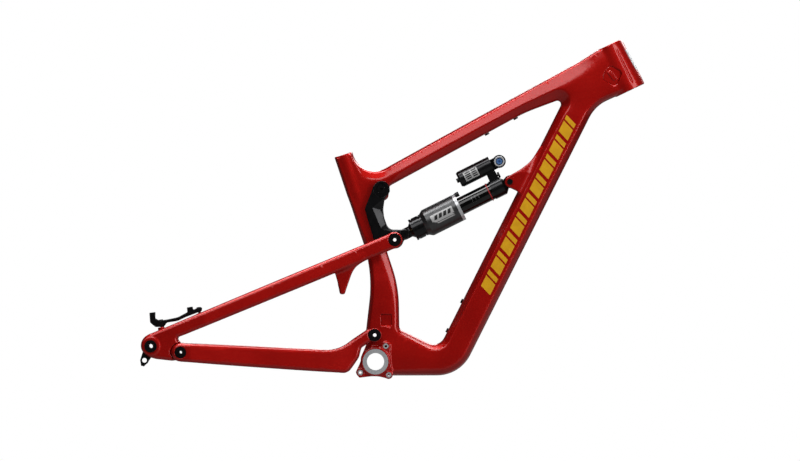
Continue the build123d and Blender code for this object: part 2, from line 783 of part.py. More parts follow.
def rocker_bearings():
    return side_pair(lambda side: ring(ROCKER_PIVOT, side * 20.5, side * 25.5, PIVOT_BEARING_R, PIVOT_SHAFT_R))


def rocker_caps():
    """Dished dust caps over the rocker bearings."""
    def cap(side):
        disc = ring(ROCKER_PIVOT, side * 25.6, side * 30.1, 15.0, 7.7)
        return disc - rod(ROCKER_PIVOT, side * 28.6, side * 31.0, 11.5)
    return side_pair(cap)


def shock_rear_bolts():
    """Short bolts in the rocker plates, one each side of the shock's rear eye."""
    def bolt(side):
        form = rod(SHOCK_REAR, side * 19.1, side * 26.8, 5.0) + rod(SHOCK_REAR, side * 26.8, side * 29.6, 7.2)
        return form - rod(SHOCK_REAR, side * 28.0, side * 30.0, 2.5)
    return side_pair(bolt)


# ---- Shock ----

SHOCK_DX = SHOCK_FRONT[0] - SHOCK_REAR[0]
SHOCK_DZ = SHOCK_FRONT[1] - SHOCK_REAR[1]
SHOCK_ANGLE = degrees(atan2(SHOCK_DZ, SHOCK_DX))
SHOCK_LENGTH = hypot(SHOCK_DX, SHOCK_DZ)


def shock_rod(start, end, radius, end_radius=None, rise=0.0):
    """A cylinder along the shock's axis, or above it by rise."""
    at = moved_along(SHOCK_REAR, SHOCK_ANGLE, 0.0, rise)
    return along(at, SHOCK_ANGLE, start, end, radius, end_radius)


def shock_slab(corners, half_width):
    """A slab across the shock, from corners of (distance along it, rise)."""
    points = [moved_along(SHOCK_REAR, SHOCK_ANGLE, distance, rise) for distance, rise in corners]
    return slab(points, -half_width, half_width)


def rear_eyelet():
    eye = rod(SHOCK_REAR, -11.0, 11.0, 11.0)
    neck = shock_rod(0.0, 17.5, 11.0)
    foot = shock_rod(12.0, 17.5, 11.0, 16.0)
    return eye + neck + foot - rod(SHOCK_REAR, -20.0, 20.0, 7.0)


def rear_bushing():
    return ring(SHOCK_REAR, -18.6, 18.6, 7.0, 4.2)


def can_sleeve():
    """The narrower rear sleeve of the air can, with two grooves."""
    form = shock_rod(17.5, 42.0, 22.0)
    for start in (21.5, 36.5):
        form -= shock_rod(start, start + 2.2, 24.0) - shock_rod(start, start + 2.2, 20.6)
    return form - shock_rod(22.0, 43.0, 12.0)


def air_can():
    form = shock_rod(42.0, 50.0, 22.0, CAN_R) + shock_rod(50.0, SEAL_HEAD[0], CAN_R)
    return form - shock_rod(48.0, SEAL_HEAD[0] + 1.0, CAN_BORE_R) - shock_rod(41.0, 50.0, 12.0)


def seal_head():
    return shock_rod(SEAL_HEAD[0], SEAL_HEAD[1], CAN_R) - shock_rod(110.0, 125.0, DAMPER_R + SLIDING)


def air_valve():
    """The air valve, with its cap, at the front edge of the can."""
    stem = shock_rod(SEAL_HEAD[1], 123.0, VALVE_CAP_R - 0.7, rise=VALVE_RISE)
    cap = shock_rod(123.0, 130.0, VALVE_CAP_R, rise=VALVE_RISE)
    return stem + cap


def damper_shaft():
    return shock_rod(22.0, 124.0, SHAFT_R)


def damper_piston():
    return shock_rod(124.0, 132.0, DAMPER_BORE_R - SLIDING)


def damper_tube():
    start = AIR_PISTON[0] - 0.4
    tube = shock_rod(start, HEAD_BLOCK[0], DAMPER_R) - shock_rod(116.0, HEAD_BLOCK[0] + 1, DAMPER_BORE_R)
    return tube - shock_rod(start - 1, 117.0, SHAFT_R + SLIDING)


def air_piston():
    """The ring on the damper tube's end that slides in the air can."""
    low, high = AIR_PISTON
    return shock_rod(low, high, CAN_BORE_R - SLIDING) - shock_rod(low - 1, high + 1, DAMPER_R)


def damper_head():
    """The head of the shock: damper end, bridge to the reservoir, dial boss and eye."""
    low, high = HEAD_BLOCK
    form = shock_rod(low, high, 18.6)
    form += shock_rod(high, SHOCK_LENGTH - 8.0, 18.6, 11.0)
    form += rod(SHOCK_FRONT, -12.2, 12.2, 12.6)
    form += shock_slab([(194, 8), (195.5, 36), (198, 47), (209, 47), (213.5, 30), (213.5, 8)], 11.0)
    form -= shock_rod(RESERVOIR[0], 203.0, RESERVOIR_R, rise=RESERVOIR_OFFSET)
    form += shock_rod(203.0, RESERVOIR[1], RESERVOIR_R, rise=RESERVOIR_OFFSET)
    form += shock_slab([(204, 34), (224, 34), (224, 56), (204, 56)], 10.0)
    boss = moved_along(SHOCK_REAR, SHOCK_ANGLE, *DIAL_CENTRE)
    form += rod(boss, -13.0, 11.0, 12.8)
    form -= shock_rod(low - 1, 200.0, DAMPER_BORE_R)
    form -= rod(boss, -14.0, -8.0, 2.03)
    form -= shock_rod(206.0, 222.0, REBOUND_R + 0.4, rise=REBOUND_RISE)
    form -= rod(SHOCK_FRONT, -20.0, 20.0, 6.4)
    ears = side_pair(lambda side: rod(SHOCK_FRONT, side * 12.3, side * 30, 14.5))
    return form - ears


def front_bushing():
    return ring(SHOCK_FRONT, -12.3, 12.3, 6.4, 4.03)


def reservoir():
    form = shock_rod(RESERVOIR[0] + 4, 203.0, RESERVOIR_R, rise=RESERVOIR_OFFSET)
    return form - shock_rod(RESERVOIR[0] + 3, 204.0, RESERVOIR_R - 1.8, rise=RESERVOIR_OFFSET)


def reservoir_cap():
    form = shock_rod(RESERVOIR[0], RESERVOIR[0] + 4, 13.6, RESERVOIR_R, rise=RESERVOIR_OFFSET)
    form += shock_rod(RESERVOIR[0] + 4, RESERVOIR[0] + 7, RESERVOIR_R - 1.8, rise=RESERVOIR_OFFSET)
    return form + shock_rod(RESERVOIR[0] - 4.5, RESERVOIR[0], 4.4, rise=RESERVOIR_OFFSET)


def floating_piston():
    return shock_rod(172.0, 182.0, RESERVOIR_R - 1.8 - SLIDING, rise=RESERVOIR_OFFSET)


def travel_ring():
    """The rubber ring on the damper tube that shows how far the shock has moved."""
    return shock_rod(183.8, 185.6, 18.7) - shock_rod(180.0, 190.0, DAMPER_R + SLIDING)


def dial_rod(y_low, y_high, radius):
    return rod(moved_along(SHOCK_REAR, SHOCK_ANGLE, *DIAL_CENTRE), y_low, y_high, radius)


def compression_dial():
    """A notched dial on the drive side of the head."""
    form = dial_rod(-19.4, -13.3, 12.4)
    centre = moved_along(SHOCK_REAR, SHOCK_ANGLE, *DIAL_CENTRE)
    for step in range(10):
        form -= rod(moved_along(centre, step * 36.0, 13.4), -20.0, -12.0, 1.9)
    form += dial_rod(-13.3, -8.2, 2.0)
    return form - dial_rod(-20.0, -15.2, 6.9)


def dial_trim():
    """The bright ring let into the compression dial."""
    return dial_rod(-20.2, -19.4, 9.4) - dial_rod(-21.0, -19.0, 6.9)


def compression_hex():
    """The hexagonal adjuster in the middle of the compression dial."""
    centre = moved_along(SHOCK_REAR, SHOCK_ANGLE, *DIAL_CENTRE)
    corners = [moved_along(centre, 60.0 * step + 10.0, 6.4) for step in range(6)]
    return slab(corners, -21.4, -15.3) - dial_rod(-22.0, -18.0, 2.3)


def rebound_dial():
    form = shock_rod(214.6, 218.6, REBOUND_R, rise=REBOUND_RISE)
    return form + shock_rod(207.0, 214.6, 2.2, rise=REBOUND_RISE)


# ---- The assembly ----


def build():
    head = head_tube()
    seat_form = seat_tube_form()
    down_form = tube_loft(DOWN_TUBE_STATIONS)
    bolts = bottle_bolts()
    pieces = {
        "head_tube": head,
        "top_tube": top_tube() - bolts,
        "down_tube": down_tube() - bolts,
        "seat_tube": seat_tube(),
        "seat_yoke": yoke() - seat_form,
        "bb_junction": bb_junction() - bolts,
        "shock_ears": shock_ears() - down_form,
        "upper_headset_seat": headset_seat(HEAD_LENGTH - HEADSET_DEPTH, HEAD_LENGTH, UPPER_HEADSET_R, 1.4),
        "lower_headset_seat": headset_seat(0.0, HEADSET_DEPTH, LOWER_HEADSET_R, 1.2),
        "bb_shell": ring((0, 0), -SHELL_HALF_WIDTH, SHELL_HALF_WIDTH, 24.95, SHELL_THREAD_R),
        "chainguide_inserts": chainguide_inserts(),
        "head_badge": head_badge(),
        "cable_port_covers": side_pair(cable_port_cover),
        "seat_port_plugs": side_pair(seat_port_plug),
        "bottle_bolts": bolts,
        "main_pivot_axle": main_pivot_axle(),
        "main_pivot_caps": main_pivot_caps(),
        "rocker_axle": rocker_axle(),
        "shock_front_bolt": shock_front_bolt(),
        "chainstay_drive": chainstay(-1),
        "chainstay_brake": chainstay(1),
        "chainstay_yoke": chainstay_yoke(),
        "main_pivot_bearings": main_pivot_bearings(),
        "horst_bearings": horst_bearings(),
        "seatstay_drive": seatstay(-1),
        "seatstay_brake": seatstay(1),
        "dropout_drive": dropout(-1) - seatstay(-1),
        "dropout_brake": dropout(1) - seatstay(1),
        "seatstay_bridge": seatstay_bridge(),
        "horst_bolts": horst_bolts(),
        "upper_pivot_bearings": upper_pivot_bearings(),
        "upper_pivot_bolts": upper_pivot_bolts(),
        "derailleur_hanger": derailleur_hanger(),
        "hanger_bolt": hanger_bolt(),
        "thru_axle": thru_axle(),
        "brake_adapter": brake_adapter(),
        "adapter_bolts": adapter_bolts(),
        "rocker_link": rocker_link(),
        "rocker_bearings": rocker_bearings(),
        "rocker_caps": rocker_caps(),
        "shock_rear_bolts": shock_rear_bolts(),
        "damper_head": damper_head(),
        "damper_tube": damper_tube(),
        "air_piston": air_piston(),
        "reservoir": reservoir(),
        "reservoir_cap": reservoir_cap(),
        "front_bushing": front_bushing(),
        "floating_piston": floating_piston(),
        "rear_eyelet": rear_eyelet(),
        "rear_bushing": rear_bushing(),
        "can_sleeve": can_sleeve(),
        "air_can": air_can(),
        "seal_head": seal_head(),
        "air_valve": air_valve(),
        "damper_shaft": damper_shaft(),
        "damper_piston": damper_piston(),
        "travel_ring": travel_ring(),
        "compression_dial": compression_dial() + dial_trim(),
        "compression_hex": compression_hex(),
        "rebound_dial": rebound_dial(),
    }
    return pieces


os.makedirs("parts", exist_ok=True)
for name, shape in build().items():
    export_step(shape, f"parts/{name}.step")
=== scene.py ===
from functools import reduce
from math import acos, atan2, ceil, cos, pi, radians, sin, tan

import bpy
import numpy as np
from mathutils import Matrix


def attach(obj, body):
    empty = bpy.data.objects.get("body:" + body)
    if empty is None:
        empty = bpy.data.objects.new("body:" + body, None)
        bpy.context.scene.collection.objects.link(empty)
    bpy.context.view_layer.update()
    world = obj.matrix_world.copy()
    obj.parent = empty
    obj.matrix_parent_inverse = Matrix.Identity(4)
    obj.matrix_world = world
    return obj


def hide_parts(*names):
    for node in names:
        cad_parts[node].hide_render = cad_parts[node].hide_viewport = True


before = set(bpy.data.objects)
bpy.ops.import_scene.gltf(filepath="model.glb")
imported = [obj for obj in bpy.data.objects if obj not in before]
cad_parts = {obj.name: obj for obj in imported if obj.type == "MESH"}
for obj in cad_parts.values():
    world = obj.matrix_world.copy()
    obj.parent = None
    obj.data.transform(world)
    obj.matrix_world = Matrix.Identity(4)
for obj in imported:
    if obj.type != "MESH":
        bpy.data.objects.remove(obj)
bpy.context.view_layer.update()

import openvdb
from mathutils import Vector

# A full-suspension bicycle frame. Shapes are worked out in millimetres in the
# part's own frame: x forward, y to the rider's left, z up, with the bottom
# bracket at the origin. The carbon mouldings are solids given by a distance
# field (negative inside), which is turned into a mesh.

MM = 0.001  # in metres, the scene's unit

# Places in the side view are given as x and z.
MAIN_PIVOT = (-1.5, 52)
HORST_PIVOT = (-381, 18.5)
UPPER_PIVOT = (37.6, 238.4)
ROCKER_PIVOT = (11.6, 337.5)
SHOCK_FRONT = (263, 352)
SHOCK_REAR = (57.2, 249.3)
AXLE = (-439.2, 30.6)
HEAD_BOTTOM = (499, 531)
HEAD_ANGLE = 115.5
HEAD_LENGTH = 98.5
SEAT_TOP = (-63.2, 405)
SEAT_ANGLE = 108.6
DOWN_TUBE_ANGLE = 63.35
CHAINGUIDE_CIRCLE = 36.5  # radius of the circle its three holes lie on
CHAINGUIDE_ANGLES = (56.4, 215.5, 315)


# ---- Distance fields ----


def smooth_min(a, b, blend):
    """The smaller of two distances, with the corner between them filled over blend mm."""
    share = np.clip(0.5 + 0.5 * (b - a) / blend, 0, 1)
    return b + (a - b) * share - blend * share * (1 - share)


def smooth_max(a, b, blend):
    """The larger of two distances, with the edge between them eased over blend mm."""
    return -smooth_min(-a, -b, blend)


def union(*distances):
    """The nearest of several distances, without any blending."""
    return reduce(np.minimum, distances)


def rounded(a, b, radius):
    """Where two distances are both negative, with the edge between them rounded."""
    a, b = a + radius, b + radius
    outside = np.hypot(np.maximum(a, 0), np.maximum(b, 0))
    return np.minimum(np.maximum(a, b), 0) + outside - radius


ARC_ERROR = 0.012  # mm between an arc and the short lines that stand for it


def fillet(corner, before, after, radius):
    """Points along the arc that rounds a corner of an outline."""
    if radius == 0:
        return [corner]
    u = np.subtract(before, corner) / np.linalg.norm(np.subtract(before, corner))
    v = np.subtract(after, corner) / np.linalg.norm(np.subtract(after, corner))
    half = acos(np.clip(np.dot(u, v), -1, 1)) / 2
    centre = np.add(corner, (u + v) / np.linalg.norm(u + v) * radius / sin(half))
    start = np.add(corner, u * radius / tan(half)) - centre
    end = np.add(corner, v * radius / tan(half)) - centre
    first = atan2(start[1], start[0])
    turn = (atan2(end[1], end[0]) - first + pi) % (2 * pi) - pi
    steps = max(2, ceil(abs(turn) / (2 * acos(1 - ARC_ERROR / radius))))
    angles = [first + turn * i / steps for i in range(steps + 1)]
    return [(centre[0] + radius * cos(a), centre[1] + radius * sin(a)) for a in angles]


def outline(*corners):
    """A closed outline from corners of (x, z, radius), with arcs at the corners."""
    points = []
    count = len(corners)
    for i, (x, z, radius) in enumerate(corners):
        before = corners[i - 1][:2]
        after = corners[(i + 1) % count][:2]
        points += fillet((x, z), before, after, radius)
    return points


def inside_outline(x, z, points):
    """Signed distance to an outline in the side view, negative inside."""
    nearest = np.full(np.broadcast(x, z).shape, 1e9)
    inside = np.zeros(nearest.shape, bool)
    for (ax, az), (bx, bz) in zip(points, points[1:] + points[:1]):
        ex, ez = bx - ax, bz - az
        length_squared = ex * ex + ez * ez
        if length_squared < 1e-9:
            continue
        px, pz = x - ax, z - az
        share = np.clip((px * ex + pz * ez) / length_squared, 0, 1)
        nearest = np.minimum(nearest, (px - share * ex) ** 2 + (pz - share * ez) ** 2)
        if ez != 0:
            inside ^= ((az > z) != (bz > z)) & (px < ex * pz / ez)
    return np.where(inside, -1, 1) * np.sqrt(nearest)


def tabulated(function, low, high, step):
    """A fast stand-in for a function of the side view: its values read off a fine grid."""
    xs = np.arange(low[0], high[0] + step, step)
    zs = np.arange(low[1], high[1] + step, step)
    table = np.asarray(function(*np.meshgrid(xs, zs, indexing="ij")))

    def read(x, z):
        u = np.clip((x - xs[0]) / step, 0, len(xs) - 1.001)
        v = np.clip((z - zs[0]) / step, 0, len(zs) - 1.001)
        i, j = u.astype(int), v.astype(int)
        u, v = u - i, v - j
        lower = table[..., i, j] * (1 - u) + table[..., i + 1, j] * u
        upper = table[..., i, j + 1] * (1 - u) + table[..., i + 1, j + 1] * u
        return lower * (1 - v) + upper * v

    return read


def side_view(main, eyes, *others):
    """Gives the distances to an outline with round eyes (place, radius, blend), and to others."""
    def distances(x, z):
        body = inside_outline(x, z, main)
        for at, radius, blend in eyes:
            body = smooth_min(body, rod(x, z, at, radius), blend)
        return [body] + [inside_outline(x, z, points) for points in others]
    return distances


def first_of(distances_at):
    """A silhouette that is simply the first of several distances."""
    return lambda x, z: distances_at(x, z)[0]


def leaning(x, z, at, angle):
    """Distance along a leaning axis from a point, and the distance square to it."""
    lean = radians(angle)
    dx, dz = x - at[0], z - at[1]
    return dx * cos(lean) + dz * sin(lean), dz * cos(lean) - dx * sin(lean)


def point_along(at, angle, distance):
    """The point at a distance from another, in a direction of the side view."""
    lean = radians(angle)
    return (at[0] + distance * cos(lean), at[1] + distance * sin(lean))


def rod(x, z, at, radius):
    """Distance to a rod that runs straight across the frame."""
    return np.hypot(x - at[0], z - at[1]) - radius


def rods(x, z, *places):
    """Distance to the nearest of several rods, each given as a place and a radius."""
    return union(*[rod(x, z, at, radius) for at, radius in places])


def slab(side_view, half, inner, outer, radius):
    """A side-view shape between two distances from the middle plane, edges rounded."""
    return rounded(side_view, np.maximum(half - outer, inner - half), radius)


def recess(x, z, half, at, radius, floor):
    """A round pocket from outside, down to a distance from the middle plane."""
    return np.maximum(rod(x, z, at, radius), floor - half)


# ---- From field to mesh ----


def add_object(name, data):
    """A new object in the scene that holds the given mesh, light or camera."""
    thing = bpy.data.objects.new(name, data)
    bpy.context.scene.collection.objects.link(thing)
    return thing


def gradient(field, points, step):
    """The field's slope at each point, measured over step to either side."""
    slopes = []
    for axis in range(3):
        shift = np.zeros(3)
        shift[axis] = step
        ahead = field(*(points + shift).T)
        behind = field(*(points - shift).T)
        slopes.append((ahead - behind) / (2 * step))
    return np.stack(slopes, axis=1)


SETTLE_STEPS = 3
SETTLE_REACH = 0.6  # longest step, in voxels
SLOPE_PROBE = 0.2  # mm over which the slope is measured to settle a point
NORMAL_PROBE = 0.35  # and to shade it
LEAST_SLOPE = 0.5


def settle(field, points, voxel):
    """Moves rough surface points onto the surface, a few steps down the slope."""
    for _ in range(SETTLE_STEPS):
        slope = gradient(field, points, SLOPE_PROBE)
        value = field(*points.T)
        move = -value / np.maximum((slope ** 2).sum(axis=1), LEAST_SLOPE ** 2)
        length = np.abs(move) * np.linalg.norm(slope, axis=1)
        move *= np.minimum(1, SETTLE_REACH * voxel / np.maximum(length, 1e-6))
        points = points + slope * move[:, None]
    return points


FLAT_MERGING = 0.006  # how readily the mesher joins faces where the surface is flat
BAND = 3  # voxels on either side of the surface where distances are kept
SIDE_MARGIN = 2.5  # voxels around the silhouette where the field is worked out


def solid(name, field, silhouette, low, high, voxel):
    """A mesh object of the surface of field, inside a box from low to high.

    silhouette(x, z) is negative where the solid can be, in the side view.
    """
    xs, ys, zs = (np.arange(low[i] - voxel, high[i] + 2 * voxel, voxel) for i in range(3))
    grid_x, grid_z = np.meshgrid(xs, zs, indexing="ij")
    near = silhouette(grid_x, grid_z) < SIDE_MARGIN * voxel
    far = BAND * voxel
    values = np.full((len(xs), len(ys), len(zs)), far, np.float32)
    columns = field(grid_x[near][:, None], ys[None, :], grid_z[near][:, None])
    values.transpose(0, 2, 1)[near] = np.clip(columns, -far, far)
    grid = openvdb.FloatGrid(far)
    grid.copyFromArray(values)
    corners, triangles, quads = grid.convertToPolygons(adaptivity=FLAT_MERGING)
    points = settle(field, corners * voxel + [xs[0], ys[0], zs[0]], voxel)
    mesh = bpy.data.meshes.new(name)
    mesh.from_pydata((points * MM).tolist(), [], triangles.tolist() + quads.tolist())
    mesh.update()
    mesh.shade_smooth()
    normals = gradient(field, points, NORMAL_PROBE)
    normals /= np.maximum(np.linalg.norm(normals, axis=1), 1e-9)[:, None]
    mesh.normals_split_custom_set_from_vertices(normals.tolist())
    return add_object(name, mesh)


# ---- Front triangle ----

SHELL_VOXEL = 1.7  # mm, for the large mouldings

FRAME_OUTLINE = outline(
    (-79.4, 399.6, 1.5), (-5.25, 176, 266), (-18.5, 62, 8), (-16, 40, 6), (-28, 8, 8),
    (-27, -27.4, 26), (165.3, -27, 73), (430, 500.4, 72), (528, 545, 3), (488.6, 627.6, 2),
    (481, 631, 3), (433, 609, 20), (401, 588.5, 60), (-26.85, 353.3, 45), (-46, 410.2, 1.5),
)
TRIANGLE_OUTLINE = outline(
    (45.3, 147, 245), (46.7, 63.4, 10), (124, 26.4, 23), (370, 516.2, 7), (293, 487.5, 300),
    (26.5, 343.2, 9), (25, 314.5, 12), (-8.5, 315, 5), (24.4, 209.6, 30),
)
EAR_OUTLINE = outline(
    (292, 322, 0), (277, 333.5, 6), (251.5, 345.5, 9.5), (254.5, 359.5, 9.5), (283, 376, 60),
    (303, 391, 60), (322, 420, 0), (345, 410, 0), (300, 310, 0),
)
GUIDE_TAB_OUTLINE = outline(
    (-38.5, -20.5, 3), (-32, -31.5, 3), (0, -27.5, 12), (26.5, -33.5, 3), (35.5, -23.5, 4),
    (28, 0, 15), (29, 32, 6.5), (20, 40.5, 6.5), (8, 30, 10), (-24, 12, 15),
)

# Places in the side view, each with the half width of its flank, then how the
# flank falls to the outer edge and to the triangle's edge: the half width left
# at that edge, and the rise of the facet beside it.
FLANKS = (
    (-66, 385, 17.4, 16, 1, 16, 1),
    (-45, 330, 17.4, 16, 1, 14, 1),
    (-20, 352, 17.6, 8, 0.5, 12, 1),
    (10, 340, 17.6, 7, 0.55, 14, 1),
    (-25, 280, 17.5, 14, 0.8, 13, 0.8),
    (0, 225, 17.7, 11.2, 0.9, 11.6, 0.37),
    (9, 200, 18.2, 11.5, 0.9, 12, 0.37),
    (13, 178, 20.2, 13.5, 0.9, 14.2, 0.37),
    (15, 155, 22.9, 16, 0.9, 17.2, 0.38),
    (15, 135, 24.2, 17.2, 0.9, 18.6, 0.6),
    (15, 100, 24.8, 17.8, 0.9, 18.8, 0.8),
    (14, 65, 25.6, 19, 0.75, 19, 0.8),
    (5, 10, 27.5, 19, 0.9, 20, 0.9),
    (60, 15, 28, 19, 0.9, 19, 0.9),
    (110, 5, 28.2, 18, 0.9, 18, 0.9),
    (150, 20, 28.4, 17.5, 0.95, 14, 1.15),
    (190, 95, 28.5, 17, 1, 11.5, 1.4),
    (240, 195, 28.5, 17, 1, 11.5, 1.4),
    (290, 295, 28.6, 17, 1, 11.5, 1.4),
    (340, 395, 28.7, 17, 1, 11.5, 1.4),
    (385, 460, 28.6, 17.5, 1, 12, 1.25),
    (430, 520, 27.8, 18, 1, 14, 0.62),
    (480, 545, 28.6, 20.5, 1, 14, 0.62),
    (462, 590, 26.8, 23.6, 0.11, 14, 0.6),
    (445, 600, 26.6, 22.8, 0.14, 14, 0.6),
    (425, 575, 26.4, 20.9, 0.19, 13.5, 0.55),
    (400, 562, 26, 19.4, 0.235, 13.3, 0.54),
    (375, 550, 25.8, 17.8, 0.275, 13.2, 0.53),
    (345, 530, 25.2, 16.2, 0.31, 13.1, 0.52),
    (310, 510, 24.3, 14.6, 0.345, 13, 0.52),
    (260, 485, 22.6, 13.6, 0.38, 13, 0.52),
    (180, 442, 21.7, 13.6, 0.38, 13, 0.52),
    (110, 404, 21, 13, 0.39, 12.5, 0.52),
    (60, 376, 19.6, 11.5, 0.42, 12, 0.52),
)
FLANK_BLEND = 400  # mm squared; larger runs the places' figures into each other more


def flank_values(x, z):
    """The figures of FLANKS at any place, weighted by nearness."""
    total = 0
    sums = [0] * 5
    for at_x, at_z, *figures in FLANKS:
        weight = 1 / ((x - at_x) ** 2 + (z - at_z) ** 2 + FLANK_BLEND) ** 2
        total = total + weight
        sums = [s + weight * f for s, f in zip(sums, figures)]
    return [s / total for s in sums]


FRAME_LOW = (-90, -42)
FRAME_HIGH = (540, 642)
frame_outlines = side_view(FRAME_OUTLINE, (), TRIANGLE_OUTLINE, EAR_OUTLINE, GUIDE_TAB_OUTLINE)
outlines_at = tabulated(frame_outlines, FRAME_LOW, FRAME_HIGH, 1)
flanks_at = tabulated(flank_values, FRAME_LOW, FRAME_HIGH, 3)


def frame_silhouette(x, z):
    edge, opening, ear, tab = outlines_at(x, z)
    return union(np.maximum(edge, -opening), ear, tab)


def chamfered(half_width, width, at_edge, slope, depth, crease):
    """How far a point is outside a flank and the facet that falls to its edge."""
    facet = (half_width - at_edge - slope * depth) / np.sqrt(1 + slope * slope)
    return smooth_max(half_width - width, facet, crease)


CREASE = 1.9  # how softly two facets meet
CROWN = 0.0022  # how fast a flank falls away from its middle, per mm squared
CROWN_REACH = 26
BEVEL_INSET = 3.5
BEVEL_SLOPE = 1.7
BEVEL_RUN_OUT = 8  # how far outside the outline the bevel goes on
EDGE_ROUND = 4.6
HEAD_FACET_HALF = 22
HEAD_FACET_RISE = -12
HEAD_FACET_SLOPE = 1.3
HEAD_FACET_DROP = 60  # how far below the head tube the facet goes on
FAR_INSIDE = -50


def facet_distance(outside, slope):
    """Distance square to a facet, from the distance outside it along y."""
    return outside / (1 + slope ** 2) ** 0.5


def main_body(x, y, z, edge, opening):
    """The moulding's flanks and facets, cut to its outlines."""
    width, outer, outer_slope, inner, inner_slope = flanks_at(x, z)
    off_centre = CROWN_REACH * np.tanh((-edge - opening) / 2 / CROWN_REACH)
    half = np.abs(y) + CROWN * off_centre ** 2
    flank = chamfered(half, width, outer, outer_slope, -edge, CREASE)
    flank = smooth_max(flank, chamfered(half, width, inner, inner_slope, opening, CREASE), CREASE)
    bevel = half - outer + BEVEL_INSET - BEVEL_SLOPE * np.maximum(-edge, -BEVEL_RUN_OUT)
    flank = smooth_max(flank, facet_distance(bevel, BEVEL_SLOPE), CREASE)
    reach, rise = leaning(x, z, HEAD_BOTTOM, HEAD_ANGLE)
    front = half - HEAD_FACET_HALF - HEAD_FACET_SLOPE * (rise - HEAD_FACET_RISE)
    front = facet_distance(front, HEAD_FACET_SLOPE)
    flank = smooth_max(flank, np.where(reach > -HEAD_FACET_DROP, front, FAR_INSIDE), 1.5)
    silhouette = smooth_max(edge, -opening, 2)
    return rounded(silhouette, flank, EDGE_ROUND)


HEAD_LOWER_R = 30.5
HEAD_TAPER = 4.75  # how much less the radius is at the top
HEAD_TAPER_START = 16


def head_tube(x, y, z):
    """The tapered tube that carries the steerer, at the frame's front."""
    reach, rise = leaning(x, z, HEAD_BOTTOM, HEAD_ANGLE)
    share = np.clip((reach - HEAD_TAPER_START) / (HEAD_LENGTH - HEAD_TAPER_START), 0, 1)
    round_side = np.hypot(rise, y) - (HEAD_LOWER_R - HEAD_TAPER * share)
    ends = np.maximum(-reach, reach - HEAD_LENGTH)
    return rounded(round_side, ends, 1.5)


GROOVE_DEPTH = 1.1
GROOVE_RISE = -9.5  # ahead of the head tube's axis
GROOVE_WIDTH = 1.9
GROOVE_ENDS = (8, 91)  # along the head tube, where it has faded out
GROOVE_FADE = 8
GROOVE_HALF = 18  # the groove is only further out than this


def head_crease(x, y, z):
    """A shallow groove down both sides of the head tube, ahead of its axis."""
    reach, rise = leaning(x, z, HEAD_BOTTOM, HEAD_ANGLE)
    depth = GROOVE_DEPTH * np.exp(-((rise - GROOVE_RISE) / GROOVE_WIDTH) ** 2)
    lower = np.clip((reach - GROOVE_ENDS[0]) / GROOVE_FADE, 0, 1)
    upper = np.clip((GROOVE_ENDS[1] - reach) / GROOVE_FADE, 0, 1)
    return np.where(np.abs(y) > GROOVE_HALF, depth * (lower * upper), 0)


STEERER_R = 25.5
STEERER_TAPER = 5
LOWER_SEAT_R = 28.4
LOWER_SEAT_END = 13.2
UPPER_SEAT_R = 22.4
UPPER_SEAT_START = 85.3


def head_bores(x, y, z):
    """The tapered bore for the steerer, with a wider seat at each end."""
    reach, rise = leaning(x, z, HEAD_BOTTOM, HEAD_ANGLE)
    across = np.hypot(rise, y)
    steerer = across - (STEERER_R - STEERER_TAPER * np.clip(reach / HEAD_LENGTH, 0, 1))
    lower = np.maximum(across - LOWER_SEAT_R, reach - LOWER_SEAT_END)
    upper = np.maximum(across - UPPER_SEAT_R, UPPER_SEAT_START - reach)
    return union(steerer, lower, upper)


COLLAR_R = 17.45
COLLAR_LENGTH = 110
COLLAR_SINK = 3  # how far it sinks in at its foot
COLLAR_SINK_START = 78  # below the seat tube's top
SEAT_BORE_R = 15.2
SEAT_BORE_DEPTH = 90


def seat_collar(x, y, z):
    """The round upper part of the seat tube, which sinks into the moulding at its foot."""
    reach, rise = leaning(x, z, SEAT_TOP, SEAT_ANGLE)
    sunk = np.clip((-reach - COLLAR_SINK_START) / (COLLAR_LENGTH - COLLAR_SINK_START), 0, 1)
    round_side = np.hypot(rise, y) - COLLAR_R + COLLAR_SINK * sunk
    return rounded(round_side, np.maximum(reach, -reach - COLLAR_LENGTH), 0.8)


def seat_bore(x, y, z):
    """The bore for the seatpost."""
    reach, rise = leaning(x, z, SEAT_TOP, SEAT_ANGLE)
    return np.maximum(np.hypot(rise, y) - SEAT_BORE_R, -reach - SEAT_BORE_DEPTH)


EAR_INNER = 12.6
EAR_OUTER = 20
EAR_SINK = 7  # how much nearer the middle the outer face is at the top
EAR_SINK_START = 370  # the height where it begins
EAR_SINK_HEIGHT = 52


def ears(y, z, ear):
    """The two plates that hold the front of the shock, sinking into the tube at their top."""
    outer = EAR_OUTER - EAR_SINK * np.clip((z - EAR_SINK_START) / EAR_SINK_HEIGHT, 0, 1)
    return slab(ear, np.abs(y), EAR_INNER, outer, 2.2)


BRACKET_R = 28
BRACKET_HALF = 36


def bottom_bracket(x, y, z):
    """The short crosswise tube that holds the crank's bearings."""
    round_side = rod(x, z, (0, 0), BRACKET_R)
    return rounded(round_side, np.abs(y) - BRACKET_HALF, 1.5)


GUIDE_OUTER = 30.5
GUIDE_INNER = 24
GUIDE_BOSS_R = 7.9
GUIDE_BOSS_OUTER = 31.6
GUIDE_HOLE_R = 5.1
GUIDE_HOLE_END = 19  # how near the middle the holes reach
GUIDE_PLACES = [point_along((0, 0), angle, CHAINGUIDE_CIRCLE) for angle in CHAINGUIDE_ANGLES]


def guide_tab(x, y, z, tab):
    """The chain guide plate with its three bosses, on the drive side."""
    plate = slab(tab, -y, GUIDE_INNER, GUIDE_OUTER, 1.2)
    for at in GUIDE_PLACES:
        boss = slab(rod(x, z, at, GUIDE_BOSS_R), -y, GUIDE_INNER, GUIDE_BOSS_OUTER, 1)
        plate = smooth_min(plate, boss, 1.5)
    return plate


